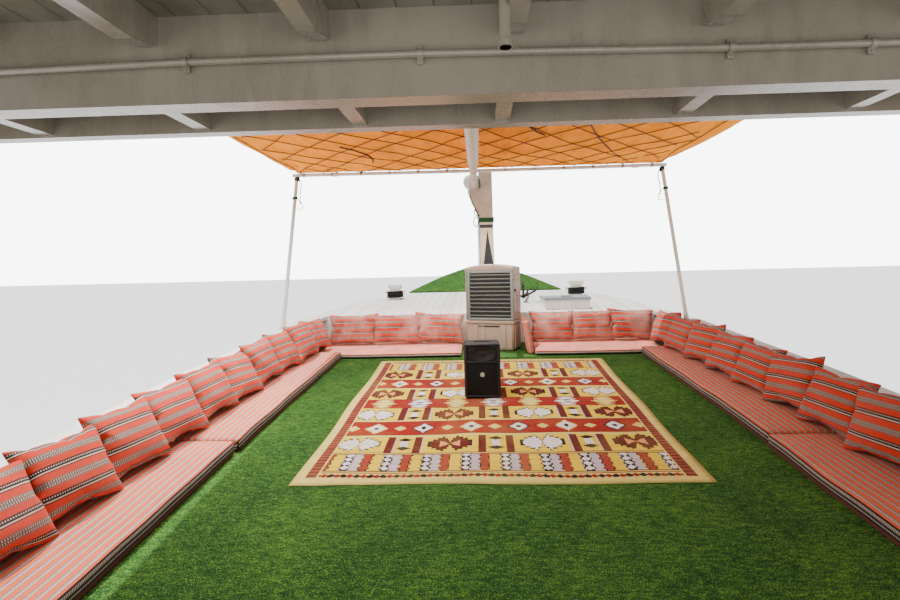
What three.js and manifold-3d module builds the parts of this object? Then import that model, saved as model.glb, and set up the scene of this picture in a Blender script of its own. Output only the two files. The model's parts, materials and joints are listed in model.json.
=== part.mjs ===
// Passenger dhow, afloat: a wooden hull with a carpeted fore well, a raised foredeck with a tall
// stem fin, an upper deck over the stern half, and an awning over the well.
// Millimetres. +X forward, +Y to port, +Z up. The origin is on the waterline, amidships, on the
// centreline.
import * as THREE from "three";
import { mergeVertices } from "three/addons/utils/BufferGeometryUtils.js";
import Module from "manifold-3d";

const wasm = await Module();
wasm.setup();

// Fit between touching pieces
const SEAT = 0.3;

// Hull stations from the transom to the bow: keelZ is the underside of the planking on the
// centreline, halfDeck the half-beam at deck level, halfCap the half-beam at the top of the
// bulwark, and round and fill shape the side between keel and deck.
const STATIONS = [
  { x: -9000, keelZ: 150, halfDeck: 1750, halfCap: 1850, round: 2.2, fill: 0.6 },
  { x: -8000, keelZ: -150, halfDeck: 2050, halfCap: 2130, round: 2.2, fill: 0.75 },
  { x: -7000, keelZ: -450, halfDeck: 2290, halfCap: 2360, round: 2.2, fill: 0.85 },
  { x: -5500, keelZ: -1000, halfDeck: 2510, halfCap: 2570, round: 2.3, fill: 0.85 },
  { x: -3500, keelZ: -1250, halfDeck: 2670, halfCap: 2730, round: 2.4, fill: 0.7 },
  { x: -500, keelZ: -1300, halfDeck: 2740, halfCap: 2800, round: 2.4, fill: 0.62 },
  { x: 2500, keelZ: -1300, halfDeck: 2710, halfCap: 2780, round: 2.2, fill: 0.68 },
  { x: 4500, keelZ: -1300, halfDeck: 2590, halfCap: 2690, round: 1.9, fill: 0.8 },
  { x: 6300, keelZ: -1300, halfDeck: 2240, halfCap: 2400, round: 1.6, fill: 0.95 },
  { x: 7000, keelZ: -360, halfDeck: 1950, halfCap: 2140, round: 1.5, fill: 1.0 },
  { x: 7900, keelZ: 850, halfDeck: 1330, halfCap: 1560, round: 1.4, fill: 1.0 },
  { x: 8550, keelZ: 1725, halfDeck: 680, halfCap: 920, round: 1.3, fill: 1.0 },
  { x: 8780, keelZ: 1980, halfDeck: 380, halfCap: 620, round: 1.2, fill: 1.0 },
];
// Heights up the side of a section, from keel to deck, as shares of the depth
const SIDE_STEPS = [0, 0.1, 0.22, 0.36, 0.52, 0.7, 0.86, 1];

const KEEL_HALF = 100;
const KEEL_BOTTOM = -1600;
const DECK_THICK = 60;
const BULWARK_HEIGHT = 450;
const BULWARK_THICK = 90;
const CAP_THICK = 50;
const CAP_IN = 180;
const CAP_OUT = 40;
const BREAK_X = 5350;
const BOW_TIP_X = 9080;
const NOSE_DEEP = 160;
const TRANSOM_X = -9000;

// Deck line: knots of the sheer, straight between them
const SHEER = [
  { x: -9500, z: 1430 },
  { x: -5000, z: 1200 },
  { x: -2000, z: 1200 },
  { x: 9500, z: 2177.5 },
];

// Awning over the well
const AWNING_Z = 4285;
const AWNING_FRONT_X = 4900;
// The awning stands a little to port of the centreline, as do its poles' feet on the cap
const AWNING_Y = 96;
const AWNING_HALF = 2516;
const POLE_FOOT = { x: 4500, y: 80, half: 2620 };
const PIPE_LAP = 60;
const PIPE_R = 25;
const RIDGE_Y = 150;
const RIDGE_Z = 4135;
const POST_X = [5390, 5560];

// Upper deck
const UPPER_Z = 3735;
const UPPER_THICK = 50;
const UPPER_FRONT_X = -90;
const UPPER_AFT_X = -8600;
const BEAM_BOTTOM = 3449;
const GIRDERS_X = [-410, -2600, -4700, -6800, -8450];
const GIRDER_THICK = 87;
const PILLARS_X = [-420, -2600, -4700, -6800, -8450];
const RAIL_HEIGHT = 900;
const CANOPY_EAVES_Z = 5850;
const CANOPY_RISE = 260;
const CANOPY_POSTS_X = [-330, -3000, -5700, -8300];
const LADDER_HOLE = { x: [-4600, -3350], y: [-2250, -1550] };

// Cabin on the main deck
const CABIN = { aft: -8000, front: -4900, half: 1450, wall: 60, top: 3375 };
const DOOR = { x: [-5780, -5080], sill: 60, top: 3150, play: 6 };

// Stern gear: the sternpost's aft edge is a raked line, and the rudder's axis lies behind it
const POST_FOOT = { x: -8870, z: -1600 };
const POST_HEAD = { x: -9420, z: 1800 };
const RUDDER_SET_BACK = 75;
const STOCK_R = 40;
const GUDGEONS_Z = [-1150, 150, 1350];
const SHAFT = { x: -8020, z: -860, radius: 35 };
const BEARING = { sides: 24, play: 0.6 };

// Colours
const PAINT = { white: 0xe6e2d8, cream: 0xd8d0bd, beige: 0x8b8574, wood: 0x4b2b1c, rail: 0x5b231c };

function lerp(a, b, t) {
  return a + (b - a) * t;
}

// Value of a column between the rows of a table sorted by x
function along(table, column, x) {
  const last = table.length - 1;
  const next = Math.min(Math.max(table.findIndex((row) => row.x >= x), 1), last);
  const i = x > table[last].x ? last : next;
  const [a, b] = [table[i - 1], table[i]];
  return lerp(a[column], b[column], (x - a.x) / (b.x - a.x));
}

const deckZ = (x) => along(SHEER, "z", x);
const capTopZ = (x) => deckZ(x) + BULWARK_HEIGHT;
const hullTopZ = (x) => deckZ(x) - DECK_THICK;
const halfCap = (x) => along(STATIONS, "halfCap", x);

// Half-beam of the outer side at height z between hull top and cap top
function sideAt(x, z) {
  const share = (z - hullTopZ(x)) / (capTopZ(x) - hullTopZ(x));
  return lerp(along(STATIONS, "halfDeck", x), halfCap(x), share);
}

// Station places between two ends, with the ends themselves
function stationsBetween(from, to) {
  const kinks = [...STATIONS, ...SHEER].map((row) => row.x);
  const inner = kinks.filter((x) => x > from + 1 && x < to - 1);
  return [...new Set([from, ...inner, to])].sort((a, b) => a - b);
}

// Solids: a closed geometry is turned into a solid that can be joined and cut
function solidOf(geometry) {
  const bare = geometry.clone();
  bare.deleteAttribute("normal");
  bare.deleteAttribute("uv");
  const merged = mergeVertices(bare, 1e-3);
  const index = Array.from(merged.index.array);
  const kept = [];
  for (let i = 0; i < index.length; i += 3) {
    const [a, b, c] = index.slice(i, i + 3);
    if (a !== b && b !== c && c !== a) {
      kept.push(a, b, c);
    }
  }
  return new wasm.Manifold(new wasm.Mesh({
    numProp: 3,
    vertProperties: new Float32Array(merged.attributes.position.array),
    triVerts: new Uint32Array(kept),
  }));
}

function geometryOf(solid) {
  const mesh = solid.getMesh();
  const geometry = new THREE.BufferGeometry();
  geometry.setAttribute("position", new THREE.BufferAttribute(mesh.vertProperties, 3));
  geometry.setIndex(new THREE.BufferAttribute(mesh.triVerts, 1));
  geometry.computeVertexNormals();
  return geometry;
}

function join(solids) {
  return solids.reduce((whole, next) => whole.add(next));
}

function box([x0, x1], [y0, y1], [z0, z1]) {
  const geometry = new THREE.BoxGeometry(x1 - x0, y1 - y0, z1 - z0);
  geometry.translate((x0 + x1) / 2, (y0 + y1) / 2, (z0 + z1) / 2);
  return solidOf(geometry);
}

// Round bar between two points
function rod(from, to, radius, sides = 8, endRadius = radius) {
  const start = new THREE.Vector3(...from);
  const end = new THREE.Vector3(...to);
  const run = new THREE.Vector3().subVectors(end, start);
  const geometry = new THREE.CylinderGeometry(endRadius, radius, run.length(), sides);
  const up = new THREE.Vector3(0, 1, 0);
  const turn = new THREE.Quaternion().setFromUnitVectors(up, run.clone().normalize());
  geometry.applyQuaternion(turn);
  const middle = start.add(end).multiplyScalar(0.5);
  geometry.translate(middle.x, middle.y, middle.z);
  return solidOf(geometry);
}

// Rods through a list of points, joined with a ball at each bend
function bentRod(points, radius, sides = 8) {
  const runs = points.slice(1).map((to, i) => rod(points[i], to, radius, sides));
  const bends = points.slice(1, -1).map((at) => {
    const ball = new THREE.IcosahedronGeometry(radius * 1.15, 0);
    ball.translate(...at);
    return solidOf(ball);
  });
  return join([...runs, ...bends]);
}

function shapeOf(points) {
  return new THREE.Shape(points.map(([u, v]) => new THREE.Vector2(u, v)));
}

function extruded(points, depth) {
  return new THREE.ExtrudeGeometry(shapeOf(points), { depth, bevelEnabled: false });
}

// Board cut to an outline of x and z points, standing between two y places
function boardXZ(points, [y0, y1]) {
  const geometry = extruded(points, y1 - y0);
  geometry.rotateX(Math.PI / 2);
  geometry.translate(0, y1, 0);
  return solidOf(geometry);
}

// Board cut to an outline of y and z points, standing between two x places
function boardYZ(points, [x0, x1]) {
  const geometry = extruded(points, x1 - x0);
  const basis = new THREE.Matrix4().makeBasis(
    new THREE.Vector3(0, 1, 0), new THREE.Vector3(0, 0, 1), new THREE.Vector3(1, 0, 0));
  geometry.applyMatrix4(basis);
  geometry.translate(x0, 0, 0);
  return solidOf(geometry);
}

// Slab cut to an outline of x and y points, lying between two heights
function slabXY(points, [z0, z1]) {
  const geometry = extruded(points, z1 - z0);
  geometry.translate(0, 0, z0);
  return solidOf(geometry);
}

// Outline of a rectangle between two y places and two heights
function rectangle([y0, y1], [z0, z1]) {
  return [[y0, z0], [y1, z0], [y1, z1], [y0, z1]];
}

// Solid through a row of outlines, each a list of [y, z] at its own x
function loft(rows) {
  const count = rows[0].outline.length;
  const positions = rows.flatMap(({ x, outline }) => outline.flatMap(([y, z]) => [x, y, z]));
  const index = [];
  for (let r = 0; r < rows.length - 1; r += 1) {
    for (let i = 0; i < count; i += 1) {
      const j = (i + 1) % count;
      const [a, b] = [r * count + i, r * count + j];
      const [c, d] = [b + count, a + count];
      index.push(a, b, c, a, c, d);
    }
  }
  const lastRow = (rows.length - 1) * count;
  const flat = (row) => row.outline.map(([y, z]) => new THREE.Vector2(y, z));
  THREE.ShapeUtils.triangulateShape(flat(rows[0]), []).forEach(([a, b, c]) => index.push(a, c, b));
  THREE.ShapeUtils.triangulateShape(flat(rows.at(-1)), [])
    .forEach(([a, b, c]) => index.push(lastRow + a, lastRow + b, lastRow + c));
  const geometry = new THREE.BufferGeometry();
  geometry.setAttribute("position", new THREE.Float32BufferAttribute(positions, 3));
  geometry.setIndex(index);
  return outward(geometry);
}

// Turns a closed shell the right way out
function outward(geometry) {
  const index = geometry.index.array;
  const position = geometry.attributes.position;
  const [a, b, c] = [new THREE.Vector3(), new THREE.Vector3(), new THREE.Vector3()];
  let volume = 0;
  for (let i = 0; i < index.length; i += 3) {
    a.fromBufferAttribute(position, index[i]);
    b.fromBufferAttribute(position, index[i + 1]);
    c.fromBufferAttribute(position, index[i + 2]);
    volume += a.dot(b.cross(c));
  }
  if (volume < 0) {
    for (let i = 0; i < index.length; i += 3) {
      [index[i], index[i + 1]] = [index[i + 1], index[i]];
    }
  }
  return solidOf(geometry);
}

// The same piece on the other side of the centreline
function mirrored(solid) {
  return solid.mirror([0, 1, 0]);
}

// Hull

function hullSection({ x, keelZ, halfDeck, round, fill }) {
  const top = hullTopZ(x);
  const port = SIDE_STEPS.map((share) => {
    const swell = (1 - (1 - share) ** round) ** fill;
    return [lerp(KEEL_HALF, halfDeck, swell), lerp(keelZ, top, share)];
  });
  const starboard = port.map(([y, z]) => [-y, z]).reverse();
  return { x, outline: [...port, ...starboard] };
}

// The sheer's own kinks get a section too, so that the deck line is met
function hullRows() {
  const kinks = SHEER.map((row) => row.x).filter((x) => x > TRANSOM_X && x < STATIONS.at(-1).x);
  const columns = ["keelZ", "halfDeck", "halfCap", "round", "fill"];
  const between = kinks.map((x) => {
    const values = columns.map((column) => [column, along(STATIONS, column, x)]);
    return { x, ...Object.fromEntries(values) };
  });
  return [...STATIONS, ...between].sort((a, b) => a.x - b.x);
}

const ENGINE_PIT = { x: [-6050, -4350], y: [-600, 600], floor: -400 };

function hullPlanking() {
  const { x, y, floor } = ENGINE_PIT;
  return loft(hullRows().map(hullSection)).subtract(box(x, y, [floor, 2000]));
}

function engineBlock() {
  const base = box([-5950, -4600], [-380, 380], [ENGINE_PIT.floor + SEAT, 250]);
  return base.add(box([-5800, -4750], [-230, 230], [200, 620]));
}

function sternpostX(z) {
  return lerp(POST_FOOT.x, POST_HEAD.x, (z - POST_FOOT.z) / (POST_HEAD.z - POST_FOOT.z));
}

const rudderAxisX = (z) => sternpostX(z) - RUDDER_SET_BACK;
const rudderAxisPoint = (z) => [rudderAxisX(z), 0, z];

// Unit vector up the rudder's axis
function rudderAxis() {
  const run = new THREE.Vector3(POST_HEAD.x - POST_FOOT.x, 0, POST_HEAD.z - POST_FOOT.z);
  return run.normalize();
}

// Point on the rudder's axis a distance up or down from the point at height z
function upTheAxis(z, distance) {
  const at = new THREE.Vector3(...rudderAxisPoint(z)).addScaledVector(rudderAxis(), distance);
  return at.toArray();
}

const GUDGEON_R = 68;
const GUDGEON_TALL = 90;

function gudgeon(z) {
  const ring = rod(upTheAxis(z, -GUDGEON_TALL / 2), upTheAxis(z, GUDGEON_TALL / 2), GUDGEON_R, 12);
  const arm = box([sternpostX(z) - RUDDER_SET_BACK, sternpostX(z) + 40], [-50, 50], [z - 32, z + 32]);
  const bore = rod(upTheAxis(z, -200), upTheAxis(z, 200), STOCK_R + BEARING.play, BEARING.sides);
  return ring.add(arm).subtract(bore);
}

// Keel, deadwood and sternpost in one board, with the screw's opening and its bore
function keelTimber() {
  const under = STATIONS.filter(({ x }) => x <= 6300).map(({ x, keelZ }) => [x, keelZ - SEAT]);
  const outline = [
    [POST_FOOT.x, KEEL_BOTTOM],
    [6000, KEEL_BOTTOM],
    [6300, -1500],
    ...under.reverse(),
    [TRANSOM_X - SEAT, 150 - SEAT],
    [TRANSOM_X - SEAT, POST_HEAD.z],
    [POST_HEAD.x, POST_HEAD.z],
  ];
  const opening = box([-8480, -7600], [-200, 200], [-1400, -330]);
  const bore = rod([-7700, 0, SHAFT.z], [-7250, 0, SHAFT.z], SHAFT.radius + BEARING.play, BEARING.sides);
  const board = boardXZ(outline, [-KEEL_HALF, KEEL_HALF]).subtract(opening).subtract(bore);
  return join([board, ...GUDGEONS_Z.map(gudgeon)]);
}

// Raked stem outside the planking, from the forefoot up to the foredeck
function stemTimber() {
  const top = capTopZ(BOW_TIP_X);
  const planking = STATIONS.filter(({ x }) => x >= 6300).map(({ x, keelZ }) => [x + SEAT, keelZ - SEAT]);
  const last = STATIONS.at(-1).x + 2 * SEAT;
  const outline = [
    [6300 + SEAT, -1500],
    ...planking,
    [last, hullTopZ(last)],
    [BOW_TIP_X + SEAT, top - NOSE_DEEP - SEAT],
    [BOW_TIP_X + SEAT, top],
    [9380, top],
    [8980, 1900],
    [6700, -1180],
  ];
  return boardXZ(outline, [-KEEL_HALF, KEEL_HALF]);
}

// Tall fin over the stem: raking aft edge, upright front edge, rounded head
function stemFin() {
  const foot = (x) => capTopZ(x) + SEAT;
  const outline = [
    [7250, foot(7250)],
    [9370, foot(9370)],
    [9340, 3200],
    [9230, 4000],
    [9120, 4560],
    [9080, 4760],
    [8960, 4880],
    [8790, 4880],
    [8690, 4780],
    [8610, 4560],
    [8330, 3980],
    [7960, 3330],
    [7600, 2900],
  ];
  return boardXZ(outline, [-110, 110]);
}

const HATCH = { x: [5520, 6140], y: [-1540, -880], board: 45, rise: 90, lid: 40, lap: 15 };

// Raised foredeck: a block between hull and cap height, ending in the bow's nose
function foredeckBlock() {
  const rows = stationsBetween(BREAK_X, STATIONS.at(-1).x).map((x) => {
    const [low, high] = [hullTopZ(x) + SEAT, capTopZ(x)];
    const [narrow, wide] = [sideAt(x, low), sideAt(x, high)];
    return { x, outline: [[narrow, low], [wide, high], [-wide, high], [-narrow, low]] };
  });
  const nose = capTopZ(BOW_TIP_X);
  const under = nose - NOSE_DEEP;
  rows.push({ x: BOW_TIP_X, outline: [[110, under], [150, nose], [-150, nose], [-110, under]] });
  const pocket = box(
    [HATCH.x[0] + HATCH.board, HATCH.x[1] - HATCH.board],
    [HATCH.y[0] + HATCH.board, HATCH.y[1] - HATCH.board],
    [capTopZ(HATCH.x[0]) - 380, 3000]);
  return loft(rows).subtract(pocket);
}

function hatchCoaming(foredeck) {
  const top = capTopZ(HATCH.x[1]) + HATCH.rise;
  const outer = box(HATCH.x, HATCH.y, [capTopZ(HATCH.x[0]) - 60, top]);
  const inner = box(
    [HATCH.x[0] + HATCH.board, HATCH.x[1] - HATCH.board],
    [HATCH.y[0] + HATCH.board, HATCH.y[1] - HATCH.board],
    [1000, 3000]);
  return outer.subtract(inner).subtract(foredeck.translate([0, 0, SEAT]));
}

function hatchLid() {
  const bottom = capTopZ(HATCH.x[1]) + HATCH.rise + SEAT;
  const top = bottom + HATCH.lid;
  const plate = box(
    [HATCH.x[0] - HATCH.lap, HATCH.x[1] + HATCH.lap],
    [HATCH.y[0] - HATCH.lap, HATCH.y[1] + HATCH.lap],
    [bottom, top]);
  const grip = box([HATCH.x[0] + 50, HATCH.x[0] + 80], [-1290, -1130], [top - 1, top + 25]);
  return plate.add(grip);
}

// Grass-covered wedge on each side of the fin
function peakTurf(fin) {
  const aft = 7900;
  const rows = [aft, 8550, 8780, 9000].map((x) => {
    const low = capTopZ(x) + SEAT;
    const high = low + lerp(25, 430, (x - aft) / (9000 - aft));
    const edge = Math.max(x > 8780 ? lerp(620, 150, (x - 8780) / 300) - 30 : halfCap(x) - 60, 160);
    return { x, outline: [[0, low], [edge, low], [edge, high], [0, high]] };
  });
  return loft(rows).subtract(fin.translate([0, SEAT, 0]));
}

function bollard(y) {
  const x = 7080;
  const foot = capTopZ(x - 110) - 60;
  const post = box([x - 90, x + 90], [y - 90, y + 90], [foot, capTopZ(x) + 230]);
  const head = box([x - 115, x + 115], [y - 115, y + 115], [capTopZ(x) + 200, capTopZ(x) + 255]);
  const bar = rod([x, y - 190, capTopZ(x) + 130], [x, y + 190, capTopZ(x) + 130], 24, 8);
  return join([post, head, bar]);
}

// Folding grapnel lying on the foredeck
function grapnelAnchor(foredeck) {
  const z = capTopZ(6700) + 75;
  const [tip, ring] = [[6300, -620, z - 20], [7050, -760, z + 20]];
  const arms = [[0, 1], [0, -1], [1, 0], [-1, 0]].map(([across, up]) => {
    const bend = [tip[0] + 20, tip[1] + 190 * across, tip[2] + 100 + 90 * up];
    const point = [tip[0] + 190, tip[1] + 250 * across, tip[2] + 130 + 110 * up];
    return bentRod([tip, bend, point], 17, 6);
  });
  const loop = new THREE.TorusGeometry(55, 12, 6, 12);
  loop.rotateX(Math.PI / 2);
  loop.translate(ring[0] + 55, ring[1] - 10, ring[2]);
  return join([rod(tip, ring, 24, 8), solidOf(loop), ...arms])
    .subtract(foredeck.translate([0, 0, SEAT]));
}

// Bulwark and cap

function bulwarkSide() {
  const rows = stationsBetween(TRANSOM_X, BREAK_X - SEAT).map((x) => {
    const [low, high] = [hullTopZ(x) + SEAT, capTopZ(x) - CAP_THICK - SEAT];
    const [outer, outerTop] = [sideAt(x, low), sideAt(x, high)];
    const [inner, innerTop] = [outer - BULWARK_THICK, outerTop - BULWARK_THICK];
    return { x, outline: [[inner, low], [outer, low], [outerTop, high], [innerTop, high]] };
  });
  return loft(rows);
}

// Both sides and the piece across the transom, in one
function bulwark() {
  const side = bulwarkSide();
  const [low, high] = [hullTopZ(TRANSOM_X) + SEAT, capTopZ(TRANSOM_X) - CAP_THICK - SEAT];
  const [bottom, top] = [sideAt(TRANSOM_X, low) - 5, sideAt(TRANSOM_X, high) - 5];
  const aft = boardYZ(
    [[-bottom, low], [bottom, low], [top, high - 15], [-top, high - 15]],
    [TRANSOM_X, TRANSOM_X + BULWARK_THICK]);
  return join([side, mirrored(side), aft]);
}

function capRail() {
  const rows = stationsBetween(TRANSOM_X - 60, BREAK_X - SEAT).map((x) => {
    const top = capTopZ(x);
    const edge = sideAt(Math.max(x, TRANSOM_X), top);
    return { x, outline: rectangle([edge - CAP_IN, edge + CAP_OUT], [top - CAP_THICK, top]) };
  });
  const side = loft(rows);
  const aft = box(
    [TRANSOM_X - 60, TRANSOM_X + 160],
    [-sideAt(TRANSOM_X, 1900) + 20, sideAt(TRANSOM_X, 1900) - 20],
    [capTopZ(TRANSOM_X) - CAP_THICK + 4, capTopZ(TRANSOM_X) - 4]);
  const postNotch = box(
    [TRANSOM_X - 500, TRANSOM_X - SEAT],
    [-KEEL_HALF - SEAT, KEEL_HALF + SEAT],
    [0, 3000]);
  return join([side, mirrored(side), aft]).subtract(postNotch);
}

const STRAKE = { sunk: 12, deep: 78 };

// Rubbing band along the side, from the quarter to the bow
function fenderStrake(neighbours) {
  const rows = stationsBetween(TRANSOM_X + 60, 8700).map((x) => {
    const [low, high] = [deckZ(x) + 130, deckZ(x) + 300];
    const [inner, innerTop] = [sideAt(x, low) - STRAKE.sunk, sideAt(x, high) - STRAKE.sunk];
    const [face, faceTop] = [inner + STRAKE.deep, innerTop + STRAKE.deep];
    return { x, outline: [[inner, low], [face, low + 20], [faceTop, high - 20], [innerTop, high]] };
  });
  const cut = (band, near) => band.subtract(near.translate([0, SEAT, 0]));
  return neighbours.reduce(cut, loft(rows));
}

// Decks

function deckLayer(from, to, margin, bottom, top) {
  const rows = stationsBetween(from, to).map((x) => {
    const half = along(STATIONS, "halfDeck", x) - BULWARK_THICK - margin;
    return { x, outline: rectangle([-half, half], [deckZ(x) + bottom, deckZ(x) + top]) };
  });
  return loft(rows);
}

const TURF = 12;

function mainDeck() {
  return deckLayer(TRANSOM_X + BULWARK_THICK + SEAT, BREAK_X - SEAT, SEAT, -DECK_THICK + SEAT, 0);
}

// Block that trims the feet of what stands on the well, up to a height over the deck line
function wellFloor(height) {
  return deckLayer(-8800, BREAK_X - SEAT, 0, -900, height);
}

function turfCarpet() {
  return deckLayer(-4800, BREAK_X - 5, 12, SEAT, TURF);
}

// Awning gear

// Post on the foredeck: a shaft that widens to port into the head that the ridge pole butts on
function kingPost() {
  const foot = capTopZ(POST_X[0]) - 60;
  const outline = [
    [-128, foot],
    [80, foot],
    [80, 3690],
    [200, 3930],
    [212, 4060],
    [212, 4260],
    [88, 4300],
    [86, 4375],
    [-116, 4370],
    [-120, 3690],
  ];
  return boardYZ(outline, POST_X);
}

// Ridge pole of two thicknesses, from its prop on the upper deck's edge to the king post
function ridgePole() {
  const length = (from, to, radius) => (
    rod([from, RIDGE_Y, RIDGE_Z], [to, RIDGE_Y, RIDGE_Z], radius, 12));
  const collars = [4150, 4620].map((x) => length(x - 45, x + 45, 54));
  const prop = box(
    [-60, 30],
    [RIDGE_Y - 45, RIDGE_Y + 45],
    [UPPER_Z + UPPER_THICK + SEAT, RIDGE_Z - 20]);
  const end = POST_X[0] - SEAT;
  const endCollar = length(end - 130, end - 30, 60);
  return join([length(-60, 3730, 65), length(3700, end, 45), ...collars, endCollar, prop]);
}

function awningFrontPipe() {
  const lap = AWNING_HALF + PIPE_LAP;
  const end = (y) => [AWNING_FRONT_X, y, AWNING_Z];
  return rod(end(AWNING_Y - lap), end(AWNING_Y + lap), PIPE_R, 10);
}

// Pole from the cap to the front pipe, raking forward; hand is 1 to port and -1 to starboard
function awningPole(hand, pipe, cap) {
  const foot = [POLE_FOOT.x, POLE_FOOT.y + hand * POLE_FOOT.half, capTopZ(POLE_FOOT.x) - 20];
  const head = [AWNING_FRONT_X, AWNING_Y + hand * AWNING_HALF, AWNING_Z - 15];
  return rod(foot, head, PIPE_R, 10)
    .subtract(pipe.translate([0, 0, -SEAT]))
    .subtract(cap.translate([0, 0, SEAT]));
}

// Canvas over the well: level over the pipe and ridge, rising aft to the rail of the upper deck
function awningCanvas() {
  const places = [
    { x: -60, lift: 430, droop: 35 },
    { x: 900, lift: 190, droop: 35 },
    { x: 2100, lift: 60, droop: 35 },
    { x: 3400, lift: 45, droop: 35 },
    { x: AWNING_FRONT_X + 6, lift: PIPE_R + SEAT, droop: 0 },
  ];
  const across = [-1, -0.6, -0.2, 0.2, 0.6, 1];
  const rows = places.map(({ x, lift, droop }) => {
    const under = across.map((share) => (
      [AWNING_Y + share * AWNING_HALF, AWNING_Z + lift - droop * share * share]));
    const over = under.map(([y, z]) => [y, z + 8]).reverse();
    return { x, outline: [...under, ...over] };
  });
  return loft(rows);
}

// Upper deck

const upperHalf = (x) => halfCap(x) - 20;

function upperDeckPlanks() {
  const port = stationsBetween(UPPER_AFT_X, UPPER_FRONT_X - SEAT).map((x) => [x, upperHalf(x)]);
  const starboard = port.map(([x, y]) => [x, -y]);
  const planks = slabXY([...starboard, ...port.reverse()], [UPPER_Z, UPPER_Z + UPPER_THICK]);
  return planks.subtract(box(LADDER_HOLE.x, LADDER_HOLE.y, [3000, 4000]));
}

// Girders across, joists along, knees and the front fascia
function upperDeckBeams() {
  const top = UPPER_Z - SEAT;
  const girders = GIRDERS_X.map((x) => {
    const half = upperHalf(x) - 20;
    return box([x, x + GIRDER_THICK], [-half, half], [BEAM_BOTTOM, top]);
  });
  const frontHalf = upperHalf(UPPER_FRONT_X);
  const fascia = box(
    [UPPER_FRONT_X, UPPER_FRONT_X + 60],
    [-frontHalf, frontHalf],
    [BEAM_BOTTOM, UPPER_Z + UPPER_THICK]);
  const joistY = [-1870, -1250, -630, -10, 610, 1170, 1790];
  const joists = joistY.map((y) => {
    const outline = [
      [UPPER_AFT_X + 60, top - 2],
      [UPPER_AFT_X + 60, top - 125],
      [GIRDERS_X[0] - 120, top - 125],
      [GIRDERS_X[0] + 10, top - 95],
      [GIRDERS_X[0] + 10, top - 2],
    ];
    return boardXZ(outline, [y - 30, y + 30]);
  });
  const kneeX = [GIRDERS_X[0] + GIRDER_THICK - 5, UPPER_FRONT_X + 5];
  const kneeY = [-2380, -1880, -1290, -660, 15, 560, 1170, 1800, 2380];
  const knees = kneeY.map((y) => box(kneeX, [y - 28, y + 28], [BEAM_BOTTOM + 10, top - 3]));
  const hole = box(
    [LADDER_HOLE.x[0] - 5, LADDER_HOLE.x[1] + 5],
    [LADDER_HOLE.y[0] - 5, LADDER_HOLE.y[1] + 5],
    [3000, 4000]);
  const trimX = LADDER_HOLE.x[1] + 5;
  const trim = box([trimX, trimX + 55], [-2560, -1240], [top - 105, top - 4]);
  return join([...girders, fascia, ...joists, ...knees, trim]).subtract(hole);
}

// Posts standing on the cap, under a clamp that carries the girders
function sidePillars(cap) {
  const rows = stationsBetween(UPPER_AFT_X + 40, UPPER_FRONT_X - 60).map((x) => {
    const y = halfCap(x) - 80;
    return { x, outline: rectangle([y - 50, y + 50], [BEAM_BOTTOM - 130, BEAM_BOTTOM - SEAT]) };
  });
  const posts = PILLARS_X.map((x) => {
    const y = halfCap(x) - 80;
    return box([x - 45, x + 45], [y - 45, y + 45], [capTopZ(x) - 30, BEAM_BOTTOM - 100]);
  });
  return join([loft(rows), ...posts]).subtract(cap.translate([0, 0, SEAT]));
}

const RAIL = {
  inset: 70,
  half: 38,
  top: 50,
  low: [90, 135],
  over: 34,
  spacing: 230,
  baluster: 18,
  newel: 32,
};

// Square balusters and newels at a list of places, each [x, y, whether it is a newel]
function uprights(places) {
  const foot = UPPER_Z + UPPER_THICK + SEAT;
  return places.map(([x, y, newel]) => {
    const half = newel ? RAIL.newel : RAIL.baluster;
    const low = newel ? foot : foot + RAIL.low[0] + 20;
    return box([x - half, x + half], [y - half, y + half], [low, foot + RAIL_HEIGHT - RAIL.top / 2]);
  });
}

// Heights of the two bars of a railing, with their half-widths
function railBars() {
  const foot = UPPER_Z + UPPER_THICK + SEAT;
  return [
    { half: RAIL.half, z: [foot + RAIL_HEIGHT - RAIL.top, foot + RAIL_HEIGHT] },
    { half: RAIL.half - 10, z: [foot + RAIL.low[0], foot + RAIL.low[1]] },
  ];
}

// Places shared evenly between two ends, every seventh and both last ones newels
function evenPlaces(from, to) {
  const bays = Math.round((to - from) / RAIL.spacing);
  const newel = (i) => i % 7 === 0 || i === bays;
  return Array.from({ length: bays + 1 }, (_, i) => [lerp(from, to, i / bays), newel(i)]);
}

// Railing along the port edge of the upper deck
function railingAlong() {
  const [aft, fore] = [UPPER_AFT_X + 170, UPPER_FRONT_X - 170];
  const line = (x) => upperHalf(x) - RAIL.inset;
  const kinks = stationsBetween(aft - RAIL.over, fore + RAIL.over);
  const bars = railBars().map(({ half, z }) => loft(kinks.map((x) => (
    { x, outline: rectangle([line(x) - half, line(x) + half], z) }))));
  const places = evenPlaces(aft, fore).map(([x, newel]) => [x, line(x), newel]);
  return join([...bars, ...uprights(places)]);
}

function railingAcross(x) {
  const half = upperHalf(x) - RAIL.inset - 100;
  const reach = half + RAIL.over;
  const bars = railBars().map((bar) => box([x - bar.half, x + bar.half], [-reach, reach], bar.z));
  const places = evenPlaces(-half, half).map(([y, newel]) => [x, y, newel]);
  return join([...bars, ...uprights(places)]);
}

// Canopy over the upper deck

const canopyHalf = (x) => upperHalf(x) - 170;

// Posts on the port side and the rail along their heads
function canopySideFrame() {
  const deck = UPPER_Z + UPPER_THICK + SEAT;
  const posts = CANOPY_POSTS_X.map((x) => (
    rod([x, canopyHalf(x), deck], [x, canopyHalf(x), CANOPY_EAVES_Z], 24, 8)));
  const ends = [CANOPY_POSTS_X.at(-1) - 100, CANOPY_POSTS_X[0] + 100];
  const rows = stationsBetween(...ends).map((x) => {
    const [y, z] = [canopyHalf(x), CANOPY_EAVES_Z];
    return { x, outline: rectangle([y - 26, y + 26], [z - 22, z + 22]) };
  });
  return join([loft(rows), ...posts]);
}

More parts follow.
